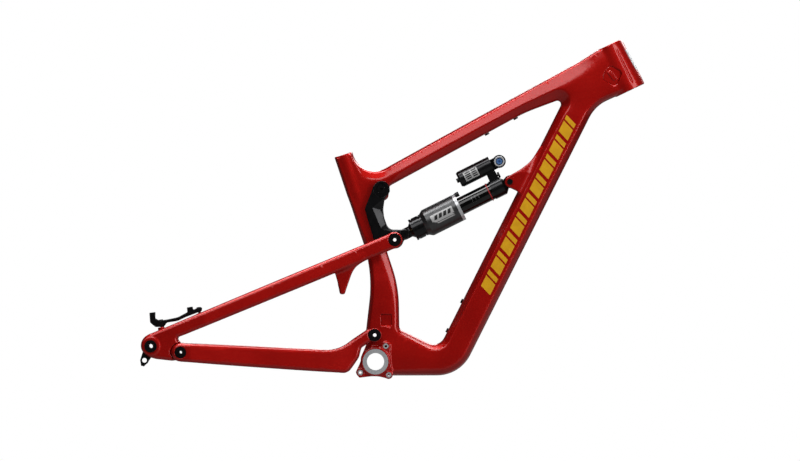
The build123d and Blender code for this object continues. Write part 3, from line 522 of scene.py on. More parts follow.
HEAD_PORT = (463, 559.5)
PORT_CORNERS = [point_along(HEAD_PORT, angle, 22.5) for angle in (20, 110, 200, 290)]
PORT_OUTLINE = outline(*[(x, z, 9) for x, z in PORT_CORNERS])
PORT_FLOOR = 24.1
PLUG_OUTLINE = outline((11.6, 71.6, 1.5), (31.4, 71.6, 1.5), (31.4, 92.4, 1.5), (10.6, 92.4, 1.5))
PLUG_FLOOR = 20
ports_at = tabulated(side_view(PORT_OUTLINE, (), PLUG_OUTLINE), FRAME_LOW, FRAME_HIGH, 1)


def port_pockets(x, y, z):
    """The pockets that the port covers and the plugs lie in."""
    head, seat = ports_at(x, z)
    half = np.abs(y)
    return np.minimum(np.maximum(head, PORT_FLOOR - half), np.maximum(seat, PLUG_FLOOR - half))


FRAME_BORES = (((0, 0), 24.9), (MAIN_PIVOT, 7.6), (ROCKER_PIVOT, 7.6), (SHOCK_FRONT, 4.2))


def front_triangle_field(x, y, z):
    """The whole moulding: its parts blended together, then bored and pocketed."""
    edge, opening, ear, tab = outlines_at(x, z)
    form = main_body(x, y, z, edge, opening)
    form = smooth_min(form, seat_collar(x, y, z), 3)
    form = smooth_min(form, head_tube(x, y, z), 3) + head_crease(x, y, z)
    form = smooth_min(form, ears(y, z, ear), 8)
    form = smooth_min(form, bottom_bracket(x, y, z), 5)
    form = smooth_min(form, guide_tab(x, y, z, tab), 3)
    guide_holes = rods(x, z, *[(at, GUIDE_HOLE_R) for at in GUIDE_PLACES])
    drive_holes = np.maximum(guide_holes, y + GUIDE_HOLE_END)
    crosswise = rods(x, z, *FRAME_BORES)
    bores = union(head_bores(x, y, z), seat_bore(x, y, z), crosswise, drive_holes)
    form = smooth_max(form, -bores, 0.8)
    return smooth_max(form, -port_pockets(x, y, z), 0.9)


def front_triangle():
    low, high = (-86, -37, -36), (534, 37, 636)
    piece = solid("front_triangle_shell", front_triangle_field, frame_silhouette, low, high, SHELL_VOXEL)
    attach(piece, "front_triangle")
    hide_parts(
        "head_tube", "top_tube", "down_tube", "seat_tube", "seat_yoke", "bb_junction", "shock_ears")
    return piece


COVER_GAP = 0.5  # between the cover and its pocket's wall
COVER_THICKNESS = 0.9
COVER_SINK = 0.3  # how far it sinks into the pocket's floor
COVER_RIB_ANGLE = -52
COVER_RIB_HALF = (10.5, 4)  # half its length and width
COVER_RIB_TOP = 26.9


def port_cover_field(x, y, z):
    """A cover at the bottom of each head port, with a slanted rib across it."""
    half = np.abs(y)
    lid = np.maximum(half - PORT_FLOOR - COVER_THICKNESS, PORT_FLOOR - COVER_SINK - half)
    plate = rounded(ports_at(x, z)[0] + COVER_GAP, lid, 0.4)
    reach, rise = leaning(x, z, HEAD_PORT, COVER_RIB_ANGLE)
    bar = rounded(np.abs(reach) - COVER_RIB_HALF[0], np.abs(rise) - COVER_RIB_HALF[1], 2.5)
    return smooth_min(plate, slab(bar, half, PORT_FLOOR, COVER_RIB_TOP, 1), 1.5)


def port_covers():
    """Both head ports' covers, as one piece."""
    reach = 20
    low = (HEAD_PORT[0] - reach, -28, HEAD_PORT[1] - reach)
    high = (HEAD_PORT[0] + reach, 28, HEAD_PORT[1] + reach)
    piece = solid("port_covers", port_cover_field, first_of(ports_at), low, high, voxel=0.7)
    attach(piece, "front_triangle")
    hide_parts("cable_port_covers")
    return piece


# ---- Seatstays ----

STAY_START = (-335, 83.75)  # a point on the seatstays' centre line
STAY_ANGLE = 22.6
# Distance along the seatstay, then its inner and outer faces' distance from the middle.
SEATSTAY_FACES = (
    (-58, 74, 85.5), (0, 70, 83), (104, 57, 71), (201, 45, 59),
    (268, 38.5, 51), (300, 35.5, 47.5), (336, 31.4, 43.5), (395, 30.4, 41),
)
SEATSTAY_OUTLINE = outline(
    (-446, 53.2, 8), (31.4, 252.8, 0), (44.5, 223.4, 0), (-370, 53.3, 3), (-389, 46, 4),
    (-372, 29, 8), (-366, 15, 9), (-380, 2.5, 10), (-398, 1.4, 20), (-429, 4.9, 30), (-450, 11, 8),
)
FIN_OUTLINE = outline(
    (-90, 180, 0), (-79, 172.5, 4), (-70.8, 143, 30), (-68.5, 132.2, 3.5), (-60.5, 132.2, 3.5),
    (-44, 180, 60), (-24, 200, 15), (-20, 214, 0),
)
CROSS_OUTLINE = outline(
    (-73, 154, 3), (-69.5, 133, 3.5), (-60, 133, 3.5), (-64.5, 154, 3),
)
HANGER_POCKET_OUTLINE = outline(
    (-453, 26, 0), (-460, 4, 0), (-452, -10, 0), (-444, -1, 0), (-429.5, 20, 0),
)
DROPOUT_CENTRE = (-436, 32.5)
SEATSTAY_EYES = ((DROPOUT_CENTRE, 22.6, 2), (UPPER_PIVOT, 16.2, 4))
stay_outlines = side_view(SEATSTAY_OUTLINE, SEATSTAY_EYES, FIN_OUTLINE, CROSS_OUTLINE)
stay_outlines_at = tabulated(stay_outlines, (-464, -4), (64, 262), 1)
STAY_FACET = 4.8  # mm, the facet along all four edges of a stay
STAY_ROUND = 2.4


def stay_arm(reach, half, edge, faces):
    """A stay's two arms: faces that follow the table, with a facet along each edge."""
    along, inner, outer = zip(*faces)
    inner = np.interp(reach, along, inner)
    outer = np.interp(reach, along, outer)
    depth = np.clip(-edge, 0, STAY_FACET + 4)
    out = chamfered(half, outer, outer - STAY_FACET, 1, depth, CREASE)
    back = chamfered(-half, -inner, -inner - STAY_FACET, 1, depth, CREASE)
    return rounded(edge, smooth_max(out, back, CREASE), STAY_ROUND)


ADAPTER_Y = 70
POST_ANGLE = 99.2  # of the posts, bolts and bosses, which all lean alike
ADAPTER_BOSSES = ((-421, 72), (-346, 98.5))  # the tops of the bosses
ADAPTER_BOSS_R = 6.8
ADAPTER_BOSS_SPAN = (-18, -5)  # along the boss, from its place
ADAPTER_POSTS = ((-437.4, 95.1), (-364.4, 106.9))  # the tops of the threaded posts
ADAPTER_OUTLINE = outline(
    (-443.4, 95.2, 0.8), (-442, 76, 5), (-431.5, 67.4, 2), (-415, 67.4, 3), (-409, 76, 5),
    (-388, 79.2, 30), (-372, 86.8, 10), (-340.5, 99, 1.5), (-339.8, 105.5, 2), (-346, 106.8, 2),
    (-357.5, 101, 2), (-358.6, 107.6, 0.8), (-369.8, 105.8, 0.8), (-369, 96.5, 2), (-388, 86.4, 30),
    (-409, 82.2, 20), (-424, 80.2, 4), (-431.6, 84.5, 3), (-431.5, 96.9, 0.8),
)


def stay_silhouette(x, z):
    """The seatstay's side view: arm, fin and the bosses for the adapter."""
    body, fin, _ = stay_outlines_at(x, z)
    bosses = rods(x, z, *[(at, 14) for at in ADAPTER_BOSSES])
    return union(body, fin, bosses)


adapter_outline = side_view(ADAPTER_OUTLINE, ())
adapter_silhouette = first_of(tabulated(adapter_outline, (-452, 58), (-330, 117), 0.5))
ADAPTER_HALF = 6  # half its thickness
THREAD_R = 2.6
THREAD_DEPTH = 12


def adapter_field(x, y, z):
    """The brake adapter: a bent bar with two threaded posts and two bolt seats."""
    form = rounded(adapter_silhouette(x, z), np.abs(y - ADAPTER_Y) - ADAPTER_HALF, 1)
    for at in ADAPTER_POSTS:
        reach, rise = leaning(x, z, at, POST_ANGLE)
        thread = np.maximum(np.hypot(rise, y - ADAPTER_Y) - THREAD_R, -reach - THREAD_DEPTH)
        form = smooth_max(form, -thread, 0.5)
    return form


def adapter():
    low, high = (-444, 63.5, 66), (-339, 76.5, 108)
    piece = solid("adapter_bar", adapter_field, adapter_silhouette, low, high, voxel=0.8)
    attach(piece, "seatstay")
    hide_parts("brake_adapter")
    return piece


BOLT_SEATS = ((-420.5, 77.6), (-346, 102))  # under the bolts' heads
BOLT_HEAD = (4.6, 4.6)  # radius and height
BOLT_SHANK = (2.9, 15)  # radius and length
BOLT_SOCKET = (2.2, 2.4)  # radius, and how high its floor is


def bolt_silhouette(x, z):
    return rods(x, z, *[(at, 20) for at in BOLT_SEATS])


def bolt_field(x, y, z):
    """The adapter's two bolts, with socket heads."""
    bolts = []
    for at in BOLT_SEATS:
        reach, rise = leaning(x, z, at, POST_ANGLE)
        across = np.hypot(rise, y - ADAPTER_Y)
        head = rounded(across - BOLT_HEAD[0], np.maximum(reach - BOLT_HEAD[1], -reach), 0.7)
        ends = np.maximum(reach - 1, -reach - BOLT_SHANK[1])
        shank = rounded(across - BOLT_SHANK[0], ends, 0.5)
        socket = np.maximum(across - BOLT_SOCKET[0], BOLT_SOCKET[1] - reach)
        bolts.append(smooth_max(np.minimum(head, shank), -socket, 0.3))
    return union(*bolts)


def adapter_bolts():
    low, high = (-428, 64, 62), (-338, 76, 107.5)
    piece = solid("adapter_screws", bolt_field, bolt_silhouette, low, high, voxel=0.6)
    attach(piece, "seatstay")
    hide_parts("adapter_bolts")
    return piece


def adapter_bosses(x, y, z):
    """The two threaded bosses under the brake adapter, on the left stay."""
    bosses = []
    start, end = ADAPTER_BOSS_SPAN
    for at in ADAPTER_BOSSES:
        reach, rise = leaning(x, z, at, POST_ANGLE)
        round_side = np.hypot(rise, y - ADAPTER_Y) - ADAPTER_BOSS_R
        bosses.append(rounded(round_side, np.maximum(reach - end, -reach + start), 0.8))
    return union(*bosses)


AXLE_BOSS_R = 17.5
AXLE_BOSS_SPAN = (74, 85.8)  # from the middle plane
CHEEK_SPAN = (33.5, 40.5)
BRIDGE_HALF = 37


def seatstay_form(x, y, z, half):
    """Both arms with the axle's bosses, the bridge between them and the adapter's bosses."""
    edge, fin, cross = stay_outlines_at(x, z)
    reach, rise = leaning(x, z, STAY_START, STAY_ANGLE)
    form = stay_arm(reach, half, edge, SEATSTAY_FACES)
    axle_boss = slab(rod(x, z, AXLE, AXLE_BOSS_R), half, *AXLE_BOSS_SPAN, 2)
    form = smooth_min(form, axle_boss, 4)
    cheek = slab(fin, half, *CHEEK_SPAN, 2.8)
    bridge = rounded(cross, half - BRIDGE_HALF, 2.4)
    form = smooth_min(form, smooth_min(cheek, bridge, 4), 7)
    return smooth_min(form, adapter_bosses(x, y, z), 4)


TONGUE_CUT = (19.4, 80)  # each cut's radius and its floor's distance from the middle
UPPER_CAP_SEAT = (12.3, 37.9)
UPPER_BOLT_R = 3.8
HORST_BOLT_R = 5.1
AXLE_HOLE_RIGHT_R = 9.2  # where the hanger's sleeve goes through
AXLE_HOLE_LEFT_R = 6.2
HANGER_SEAT_R = 15
HANGER_FLOOR = 78.4


def seatstay_field(x, y, z):
    """The seatstays, cut for the pivots, the axle and the hanger."""
    half = np.abs(y)
    tongue_cut = recess(x, z, half, HORST_PIVOT, *TONGUE_CUT)
    cap_seat = recess(x, z, half, UPPER_PIVOT, *UPPER_CAP_SEAT)
    holes = rods(x, z, (UPPER_PIVOT, UPPER_BOLT_R), (HORST_PIVOT, HORST_BOLT_R))
    axle_hole = rod(x, z, AXLE, np.where(y < 0, AXLE_HOLE_RIGHT_R, AXLE_HOLE_LEFT_R))
    pocket = rod(x, z, AXLE, HANGER_SEAT_R)
    pocket = np.minimum(pocket, inside_outline(x, z, HANGER_POCKET_OUTLINE))
    pocket = np.maximum(pocket, np.maximum(-HANGER_FLOOR - y, y))
    cuts = union(tongue_cut, cap_seat, holes, axle_hole, pocket)
    return smooth_max(seatstay_form(x, y, z, half), -cuts, 0.7)


def seatstay():
    low, high = (-460, -88, 0), (56, 88, 258)
    piece = solid("seatstay_shell", seatstay_field, stay_silhouette, low, high, SHELL_VOXEL)
    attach(piece, "seatstay")
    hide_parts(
        "seatstay_drive", "seatstay_brake", "dropout_drive", "dropout_brake", "seatstay_bridge")
    return piece


# ---- Chainstays ----

# Place along x, then the arm's inner and outer faces' distance from the middle.
CHAINSTAY_FACES = (
    (-361, 80.3, 91), (-310, 69, 83), (-240, 55, 71), (-170, 46, 61.4),
    (-110, 41, 53.8), (-74, 38, 48.2), (-56, 34, 45.2), (-44, 29.4, 43.4),
    (-10, 29.2, 40.4), (0, 29.2, 40.2),
)
CHAINSTAY_OUTLINE = outline(
    (-381, 37.3, 0), (-76, 22.5, 74), (-12, 67, 6), (-1.5, 52, 0), (-9, 39, 4), (-27, 27, 6),
    (-32, 8, 20), (-54, -23.7, 19), (-381, -0.5, 0),
)
YOKE_OUTLINE = outline(
    (-64, 8, 3), (-58, -5, 4), (-44, -5, 5), (-38.5, 8, 5), (-41, 32, 5), (-52, 34.5, 4),
    (-64, 25, 4),
)
YOKE_HOLLOW_OUTLINE = outline(
    (-70, 12, 0), (-50, 8, 3), (-48, 28, 3), (-70, 24, 0),
)
CHAINSTAY_EYES = ((HORST_PIVOT, 18.7, 1.5), (MAIN_PIVOT, 14.7, 3))
chainstay_outlines = side_view(CHAINSTAY_OUTLINE, CHAINSTAY_EYES, YOKE_OUTLINE, YOKE_HOLLOW_OUTLINE)
chainstay_outlines_at = tabulated(chainstay_outlines, (-406, -30), (20, 74), 1)
YOKE_HALF = 36
YOKE_HOLLOW_HALF = 24
MAIN_CAP_SEAT = (12.6, 36.7)  # radius, and its floor's distance from the middle
HORST_BOLT_SEAT = (11.1, 87.7)
CHAINSTAY_HOLES = ((MAIN_PIVOT, 7.7), (HORST_PIVOT, 5.2))


def chainstay_field(x, y, z):
    """The chainstays joined by their hollow yoke, cut for both pivots."""
    edge, yoke, yoke_hollow = chainstay_outlines_at(x, z)
    half = np.abs(y)
    arm = stay_arm(x, half, edge, CHAINSTAY_FACES)
    bridge = rounded(yoke, half - YOKE_HALF, 2.5)
    bridge = smooth_max(bridge, -np.maximum(yoke_hollow, half - YOKE_HOLLOW_HALF), 2)
    form = smooth_min(arm, bridge, 5)
    cap_seat = recess(x, z, half, MAIN_PIVOT, *MAIN_CAP_SEAT)
    bolt_seat = recess(x, z, half, HORST_PIVOT, *HORST_BOLT_SEAT)
    cuts = union(cap_seat, bolt_seat, rods(x, z, *CHAINSTAY_HOLES))
    return smooth_max(form, -cuts, 0.7)


def chainstay():
    low, high = (-401, -92, -25), (14, 92, 68)
    silhouette = first_of(chainstay_outlines_at)
    piece = solid("chainstay_shell", chainstay_field, silhouette, low, high, SHELL_VOXEL)
    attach(piece, "chainstay")
    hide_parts("chainstay_drive", "chainstay_brake", "chainstay_yoke")
    return piece


# ---- Rocker ----

ROCKER_OUTLINE = outline(
    (-3.5, 343.5, 0), (-21.5, 299, 7), (-3.5, 238.5, 7), (30, 222, 0), (62, 241, 0), (59, 258.5, 4),
    (25.5, 258.5, 16), (14, 290, 60), (17.5, 317, 25), (27.5, 334, 0), (11.6, 337.5, 0),
)
ROCKER_SCOOP_OUTLINE = outline(
    (-6, 301, 3), (24, 326, 0), (44, 256, 0), (12, 258, 12),
)
ROCKER_WEB_OUTLINE = outline(
    (5.8, 286.5, 1.5), (16, 286.5, 1.5), (13, 300, 10), (16.5, 312.5, 1.5), (6.8, 313.5, 1.5),
)
ROCKER_EYES = ((ROCKER_PIVOT, 16.2, 3), (UPPER_PIVOT, 17.2, 3), (SHOCK_REAR, 9, 3))
rocker_outlines = side_view(ROCKER_OUTLINE, ROCKER_EYES, ROCKER_SCOOP_OUTLINE, ROCKER_WEB_OUTLINE)
rocker_outlines_at = tabulated(rocker_outlines, (-30, 212), (76, 362), 0.7)
ROCKER_INNER = 19.1
ROCKER_OUTER = 29.6
SCOOP_SLOPE = 0.5  # how fast the scoop deepens from its edge
SCOOP_REACH = 13
WEB_HALF = 20.5
ROCKER_CAP_SEAT = (15.1, 25.6)  # radius, and its floor's distance from the middle
SHOCK_BOLT_SEAT = (7.5, 26.8)
ROCKER_HOLES = ((ROCKER_PIVOT, 7.7), (UPPER_PIVOT, 3.6), (SHOCK_REAR, 5))


def rocker_field(x, y, z):
    """Two scooped plates joined by a web, cut for the three pivots."""
    edge, scoop, web = rocker_outlines_at(x, z)
    half = np.abs(y)
    outer = ROCKER_OUTER - SCOOP_SLOPE * np.clip(-scoop, 0, SCOOP_REACH)
    plate = slab(edge, half, ROCKER_INNER, outer, 2.4)
    form = smooth_min(plate, rounded(web, half - WEB_HALF, 1.5), 3)
    cap_seat = recess(x, z, half, ROCKER_PIVOT, *ROCKER_CAP_SEAT)
    bolt_seat = recess(x, z, half, SHOCK_REAR, *SHOCK_BOLT_SEAT)
    cuts = union(cap_seat, bolt_seat, rods(x, z, *ROCKER_HOLES))
    return smooth_max(form, -cuts, 0.6)


def rocker():
    low, high = (-24, -30, 218), (68, 30, 356)
    silhouette = first_of(rocker_outlines_at)
    piece = solid("rocker_shell", rocker_field, silhouette, low, high, voxel=1.1)
    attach(piece, "rocker")
    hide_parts("rocker_link")
    return piece


# ---- Decals ----

HALVINGS = 14


def surface_half_width(field, x, z, side, high, low):
    """How far from the middle the surface lies, found by halving the interval."""
    outside, inside = np.full(x.shape, high), np.full(x.shape, low)
    for _ in range(HALVINGS):
        middle = (outside + inside) / 2
        solid_there = field(x, side * middle, z) < 0
        inside = np.where(solid_there, middle, inside)
        outside = np.where(solid_there, outside, middle)
    return (outside + inside) / 2


def thin_plates(name, places, rows, columns, lift):
    """A mesh of closed plates that lie on a surface.

    Each place(u, v) gives points on the surface, in mm, and the directions
    away from it, for u and v from 0 to 1.
    """
    points, faces = [], []
    down, across = np.linspace(0, 1, rows + 1), np.linspace(0, 1, columns + 1)
    u, v = np.meshgrid(down, across, indexing="ij")
    count = u.size
    index = np.arange(count).reshape(u.shape)
    rim = np.concatenate([index[:-1, 0], index[-1, :-1], index[:0:-1, -1], index[0, :0:-1]])
    corners = (index[:-1, :-1], index[1:, :-1], index[1:, 1:], index[:-1, 1:])
    tops = np.stack([c.ravel() for c in corners], axis=1)
    for place in places:
        on_surface, outward = place(u.ravel(), v.ravel())
        first = len(points) * count
        points += [on_surface + outward * lift, on_surface - outward * lift]
        sides = on_surface[[index[1, 0], index[0, 1]]] - on_surface[0]
        facing = 1 if np.dot(np.cross(sides[0], sides[1]), outward[0]) > 0 else -1
        following = np.roll(rim, -1)
        walls = np.stack([rim, rim + count, following + count, following], axis=1)
        plate = [tops[:, ::facing], tops[:, ::-facing] + count, walls[:, ::facing]]
        faces += (np.concatenate(plate) + first).tolist()
    mesh = bpy.data.meshes.new(name)
    mesh.from_pydata((np.concatenate(points) * MM).tolist(), [], faces)
    mesh.update()
    return add_object(name, mesh)


STRIPE_START = 221  # along the down tube's direction, from the origin
STRIPE_NEAR = 117.7  # across the tube, square to its direction
STRIPE_FAR = 141.9
STRIPE_LEAN = 9  # how much further along its near edge is
STRIPE_PITCH = 42.3
STRIPE_COUNT = 9
STRIPE_BARS = ((0, 23), (26.5, 35.5))  # start and end of both bars in each pitch
STRIPE_SEARCH = (34, 20)  # the flank lies between these distances from the middle


def stripe(side, start, end):
    """One slanted bar on the flank of the down tube."""
    def place(u, v):
        across = STRIPE_NEAR + v * (STRIPE_FAR - STRIPE_NEAR)
        along = start + u * (end - start) + (0.5 - v) * STRIPE_LEAN
        lean = radians(DOWN_TUBE_ANGLE)
        x = along * cos(lean) + across * sin(lean)
        z = along * sin(lean) - across * cos(lean)
        half = surface_half_width(front_triangle_field, x, z, side, *STRIPE_SEARCH)
        on_surface = np.stack([x, side * half, z], axis=1)
        outward = gradient(front_triangle_field, on_surface, 0.3)
        return on_surface, outward / np.linalg.norm(outward, axis=1)[:, None]
    return place


def down_tube_stripes():
    """Plain slanted bars, a long and a short one in turn, on both flanks of the down tube."""
    places = []
    for side in (-1, 1):
        for i in range(STRIPE_COUNT):
            for start, end in STRIPE_BARS:
                at = STRIPE_START + i * STRIPE_PITCH
                places.append(stripe(side, at + start, at + end))
    piece = thin_plates("down_tube_stripes", places, rows=8, columns=12, lift=0.12)
    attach(piece, "front_triangle")
    return piece


SHOCK_ANGLE = 26.53


def point_on_shock(along, rise):
    """A point of the side view, from its distance along the shock's axis and above it."""
    angle = radians(SHOCK_ANGLE)
    x = SHOCK_REAR[0] + along * cos(angle) - rise * sin(angle)
    return x, SHOCK_REAR[1] + along * sin(angle) + rise * cos(angle)


def round_patch(tube, start, end, low, high, lean=0):
    """A patch on a round part of the shock, between two distances along and two heights."""
    rise, radius = tube

    def place(u, v):
        height = low + v * (high - low)
        along = start + u * (end - start) + v * lean
        turn = np.arcsin(height / radius)
        x, z = point_on_shock(along, rise + height)
        away = np.cos(turn), np.sin(turn)
        angle = radians(SHOCK_ANGLE)
        outward = np.stack([-away[1] * sin(angle), -away[0], away[1] * cos(angle)], axis=1)
        return np.stack([x, -radius * away[0], z], axis=1), outward
    return place


# Each round part's axis above the shock's axis, and its radius.
CAN = (0, 27.5)
RESERVOIR = (47.5, 16)
DAMPER = (0, 17.2)
CAN_BAR = (64, 70.4)  # start and end of the first bar along the shock
CAN_BAR_PITCH = 9.6
SMALL_BARS = ((157, 168), (171, 181))
SMALL_BAR_LOWS = (-7, -3, 1, 5)
SMALL_BAR_HEIGHT = 2.4
TICKS = (148, 155, 162)
TICK_WIDTH = 0.8
LABEL_LIFT = 0.05  # half a label's thickness, mm
BAR_LIFT = 0.10


def can_bars():
    """Four slanted bars on the air can."""
    starts = [CAN_BAR_PITCH * i for i in range(4)]
    return [round_patch(CAN, CAN_BAR[0] + s, CAN_BAR[1] + s, -2, 6.5, 4) for s in starts]


def small_bars():
    """Two columns of four bars on the reservoir."""
    return [
        round_patch(RESERVOIR, start, end, low, low + SMALL_BAR_HEIGHT)
        for start, end in SMALL_BARS for low in SMALL_BAR_LOWS
    ]


def shock_labels():
    """Plain labels without lettering, as pieces with the look each one wears."""
    pale_can = [
        round_patch(CAN, 59, 106, -4, 9.5),
        round_patch(CAN, 65.5, 106, -7, -4, -4.5),
        round_patch(CAN, 69, 106, -10.2, -8.2, -2.5),
    ]
    pale_reservoir = [round_patch(RESERVOIR, 154.5, 183.5, -9.5, 9)]
    ticks = [round_patch(DAMPER, s, s + TICK_WIDTH, -8, 8) for s in TICKS]
    rows = (
        ("can_label", pale_can, "shock_can", "label_grey", LABEL_LIFT),
        ("can_label_bars", can_bars(), "shock_can", "label_black", BAR_LIFT),
        ("reservoir_label", pale_reservoir, "shock_body", "label_grey", LABEL_LIFT),
        ("reservoir_label_bars", small_bars(), "shock_body", "label_black", BAR_LIFT),
        ("sag_marks", ticks, "shock_body", "label_grey", LABEL_LIFT),
    )
    pieces = []
    for name, places, body, look, lift in rows:
        piece = thin_plates(name, places, rows=4, columns=10, lift=lift)
        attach(piece, body)
        pieces.append((piece, look))
    return pieces


DIAL_AT = point_on_shock(229, 45)
DIAL_RING_R = 8.7
DIAL_RING_HALF_WIDTH = 1.5
DIAL_FACE = 19.6  # the middle of the ring's thickness, from the middle plane


def dial_ring_field(x, y, z):
    """The bright ring on the face of the compression dial."""
    ring = np.abs(rod(x, z, DIAL_AT, DIAL_RING_R)) - DIAL_RING_HALF_WIDTH
    return rounded(ring, np.abs(y + DIAL_FACE) - 0.9, 0.5)


def dial_ring():
    """The ring as a piece that turns with its dial."""
    def silhouette(x, z):
        return rod(x, z, DIAL_AT, 10.4)
    low, high = (DIAL_AT[0] - 11, -21, DIAL_AT[1] - 11), (DIAL_AT[0] + 11, -18.2, DIAL_AT[1] + 11)
    piece = solid("dial_ring", dial_ring_field, silhouette, low, high, voxel=0.45)
    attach(piece, "compression_knob")
    return piece


# ---- Stage ----


def look_at(thing, target):
    direction = Vector(target) - thing.location
    thing.rotation_euler = direction.to_track_quat("-Z", "Y").to_euler()


CAMERA_DISTANCE = 40
VIEW_WIDTH = 1.5656
VIEW_CENTRE = (0.0479, 0.2566)
SENSOR_WIDTH = 36


def add_camera():
    """A long lens far away, square to the frame's side."""
    camera = add_object("camera", bpy.data.cameras.new("camera"))
    x, z = VIEW_CENTRE
    camera.location = (x, -CAMERA_DISTANCE, z)
    camera.data.sensor_width = SENSOR_WIDTH
    camera.data.lens = SENSOR_WIDTH * CAMERA_DISTANCE / VIEW_WIDTH
    camera.data.clip_end = 2 * CAMERA_DISTANCE
    look_at(camera, (x, 0, z))
    bpy.context.scene.camera = camera


LIGHT_TARGET = (0.05, 0, 0.26)
# Each softbox's place, width and height, and power.
LIGHTS = (
    ("key", (-1.1, -3.2, 2.6), (3.4, 1.6), 48),
    ("ceiling", (0.1, -0.2, 2.9), (3.4, 1), 90),
    ("right", (3.1, -3, 0.9), (2.4, 3.2), 78),
    ("back_key", (1.1, 3.3, 2.4), (3.4, 1.8), 88),
)


def add_lights():
    for name, location, size, power in LIGHTS:
        light = add_object(name, bpy.data.lights.new(name, "AREA"))
        light.location = location
        light.data.shape = "RECTANGLE"
        light.data.size, light.data.size_y = size
        light.data.energy = power
        look_at(light, LIGHT_TARGET)


FLOOR_R = 1.9
FLOOR_HEIGHT = -0.34
FLOOR_SIDES = 96
FLOOR_GLOW = 0.62


def add_stage():
    """A round pale floor. It looks pale to the camera and sends little light back up."""
    turns = [2 * pi * i / FLOOR_SIDES for i in range(FLOOR_SIDES)]
    rim = [(FLOOR_R * cos(turn), FLOOR_R * sin(turn), FLOOR_HEIGHT) for turn in turns]
    mesh = bpy.data.meshes.new("floor")
    mesh.from_pydata(rim, [], [tuple(range(FLOOR_SIDES))])
    floor = add_object("floor", mesh)
    material, nodes, links, shader = new_material("floor")
    grey, white = (0.18, 0.18, 0.18, 1), (1, 1, 1, 1)
    set_inputs(shader, {"Base Color": grey, "Roughness": 0.95, "Emission Color": white})
    path = nodes.new("ShaderNodeLightPath")
    glow = nodes.new("ShaderNodeMath")
    glow.operation = "MULTIPLY"
    glow.inputs[1].default_value = FLOOR_GLOW
    links.new(path.outputs["Is Camera Ray"], glow.inputs[0])
    links.new(glow.outputs["Value"], shader.inputs["Emission Strength"])
    mesh.materials.append(material)


WORLD_LIGHT = 0.045


def add_world():
    """Plain white to the camera and dim to the object, which the lights light."""
    world = bpy.data.worlds.new("studio")
    bpy.context.scene.world = world
    world.use_nodes = True
    nodes, links = world.node_tree.nodes, world.node_tree.links
    lighting = nodes.new("ShaderNodeBackground")
    lighting.inputs["Strength"].default_value = WORLD_LIGHT
    nodes["Background"].inputs["Color"].default_value = (1, 1, 1, 1)
    path = nodes.new("ShaderNodeLightPath")
    mix = nodes.new("ShaderNodeMixShader")
    links.new(path.outputs["Is Camera Ray"], mix.inputs["Fac"])
    links.new(lighting.outputs["Background"], mix.inputs[1])
    links.new(nodes["Background"].outputs["Background"], mix.inputs[2])
    links.new(mix.outputs["Shader"], nodes["World Output"].inputs["Surface"])


# ---- Materials ----


def new_material(name):
    """A material with its nodes, their links and its shader."""
    material = bpy.data.materials.new(name)
    material.use_nodes = True
    nodes, links = material.node_tree.nodes, material.node_tree.links
    return material, nodes, links, nodes["Principled BSDF"]


def set_inputs(node, values):
    for name, value in values.items():
        node.inputs[name].default_value = value


def add_node(nodes, kind, **settings):
    """A node with its inputs set by name."""
    node = nodes.new("ShaderNode" + kind)
    set_inputs(node, settings)
    return node


def grain(nodes, links, scale, stretch=(1, 1, 1), turn=0, detail=3):
    """A noise fixed to the object, stretched along directions turned in the side view."""
    place = nodes.new("ShaderNodeTexCoord")
    mapping = add_node(nodes, "Mapping", Rotation=(0, radians(turn), 0), Scale=stretch)
    noise = add_node(nodes, "TexNoise", Scale=scale, Detail=detail)
    links.new(place.outputs["Object"], mapping.inputs["Vector"])
    links.new(mapping.outputs["Vector"], noise.inputs["Vector"])
    return noise.outputs["Fac"]


def spread(nodes, links, value, low, high):
    """The noise's usual range, 0.3 to 0.7, spread over low to high."""
    ramp = add_node(nodes, "MapRange")
    set_inputs(ramp, {"From Min": 0.3, "From Max": 0.7, "To Min": low, "To Max": high})
    links.new(value, ramp.inputs["Value"])
    return ramp.outputs["Result"]


def blend_colours(nodes, links, share, first, second):
    mix = nodes.new("ShaderNodeMix")
    mix.data_type = "RGBA"
    mix.inputs["A"].default_value = (*first, 1)
    mix.inputs["B"].default_value = (*second, 1)
    links.new(share, mix.inputs["Factor"])
    return mix.outputs["Result"]


def raise_grain(nodes, links, value, height_mm, shader):
    bump = add_node(nodes, "Bump", Distance=height_mm * MM)
    links.new(value, bump.inputs["Height"])
    links.new(bump.outputs["Normal"], shader.inputs["Normal"])


CANDY_DEEP = ((0.42, 0.0022, 0.0010), (0.50, 0.0032, 0.0016))
CANDY_FLAKE = (0.90, 0.05, 0.025, 1)
FLAKE_SCALE = 1700  # flakes per metre
FLAKE_HEIGHT = 0.005  # mm


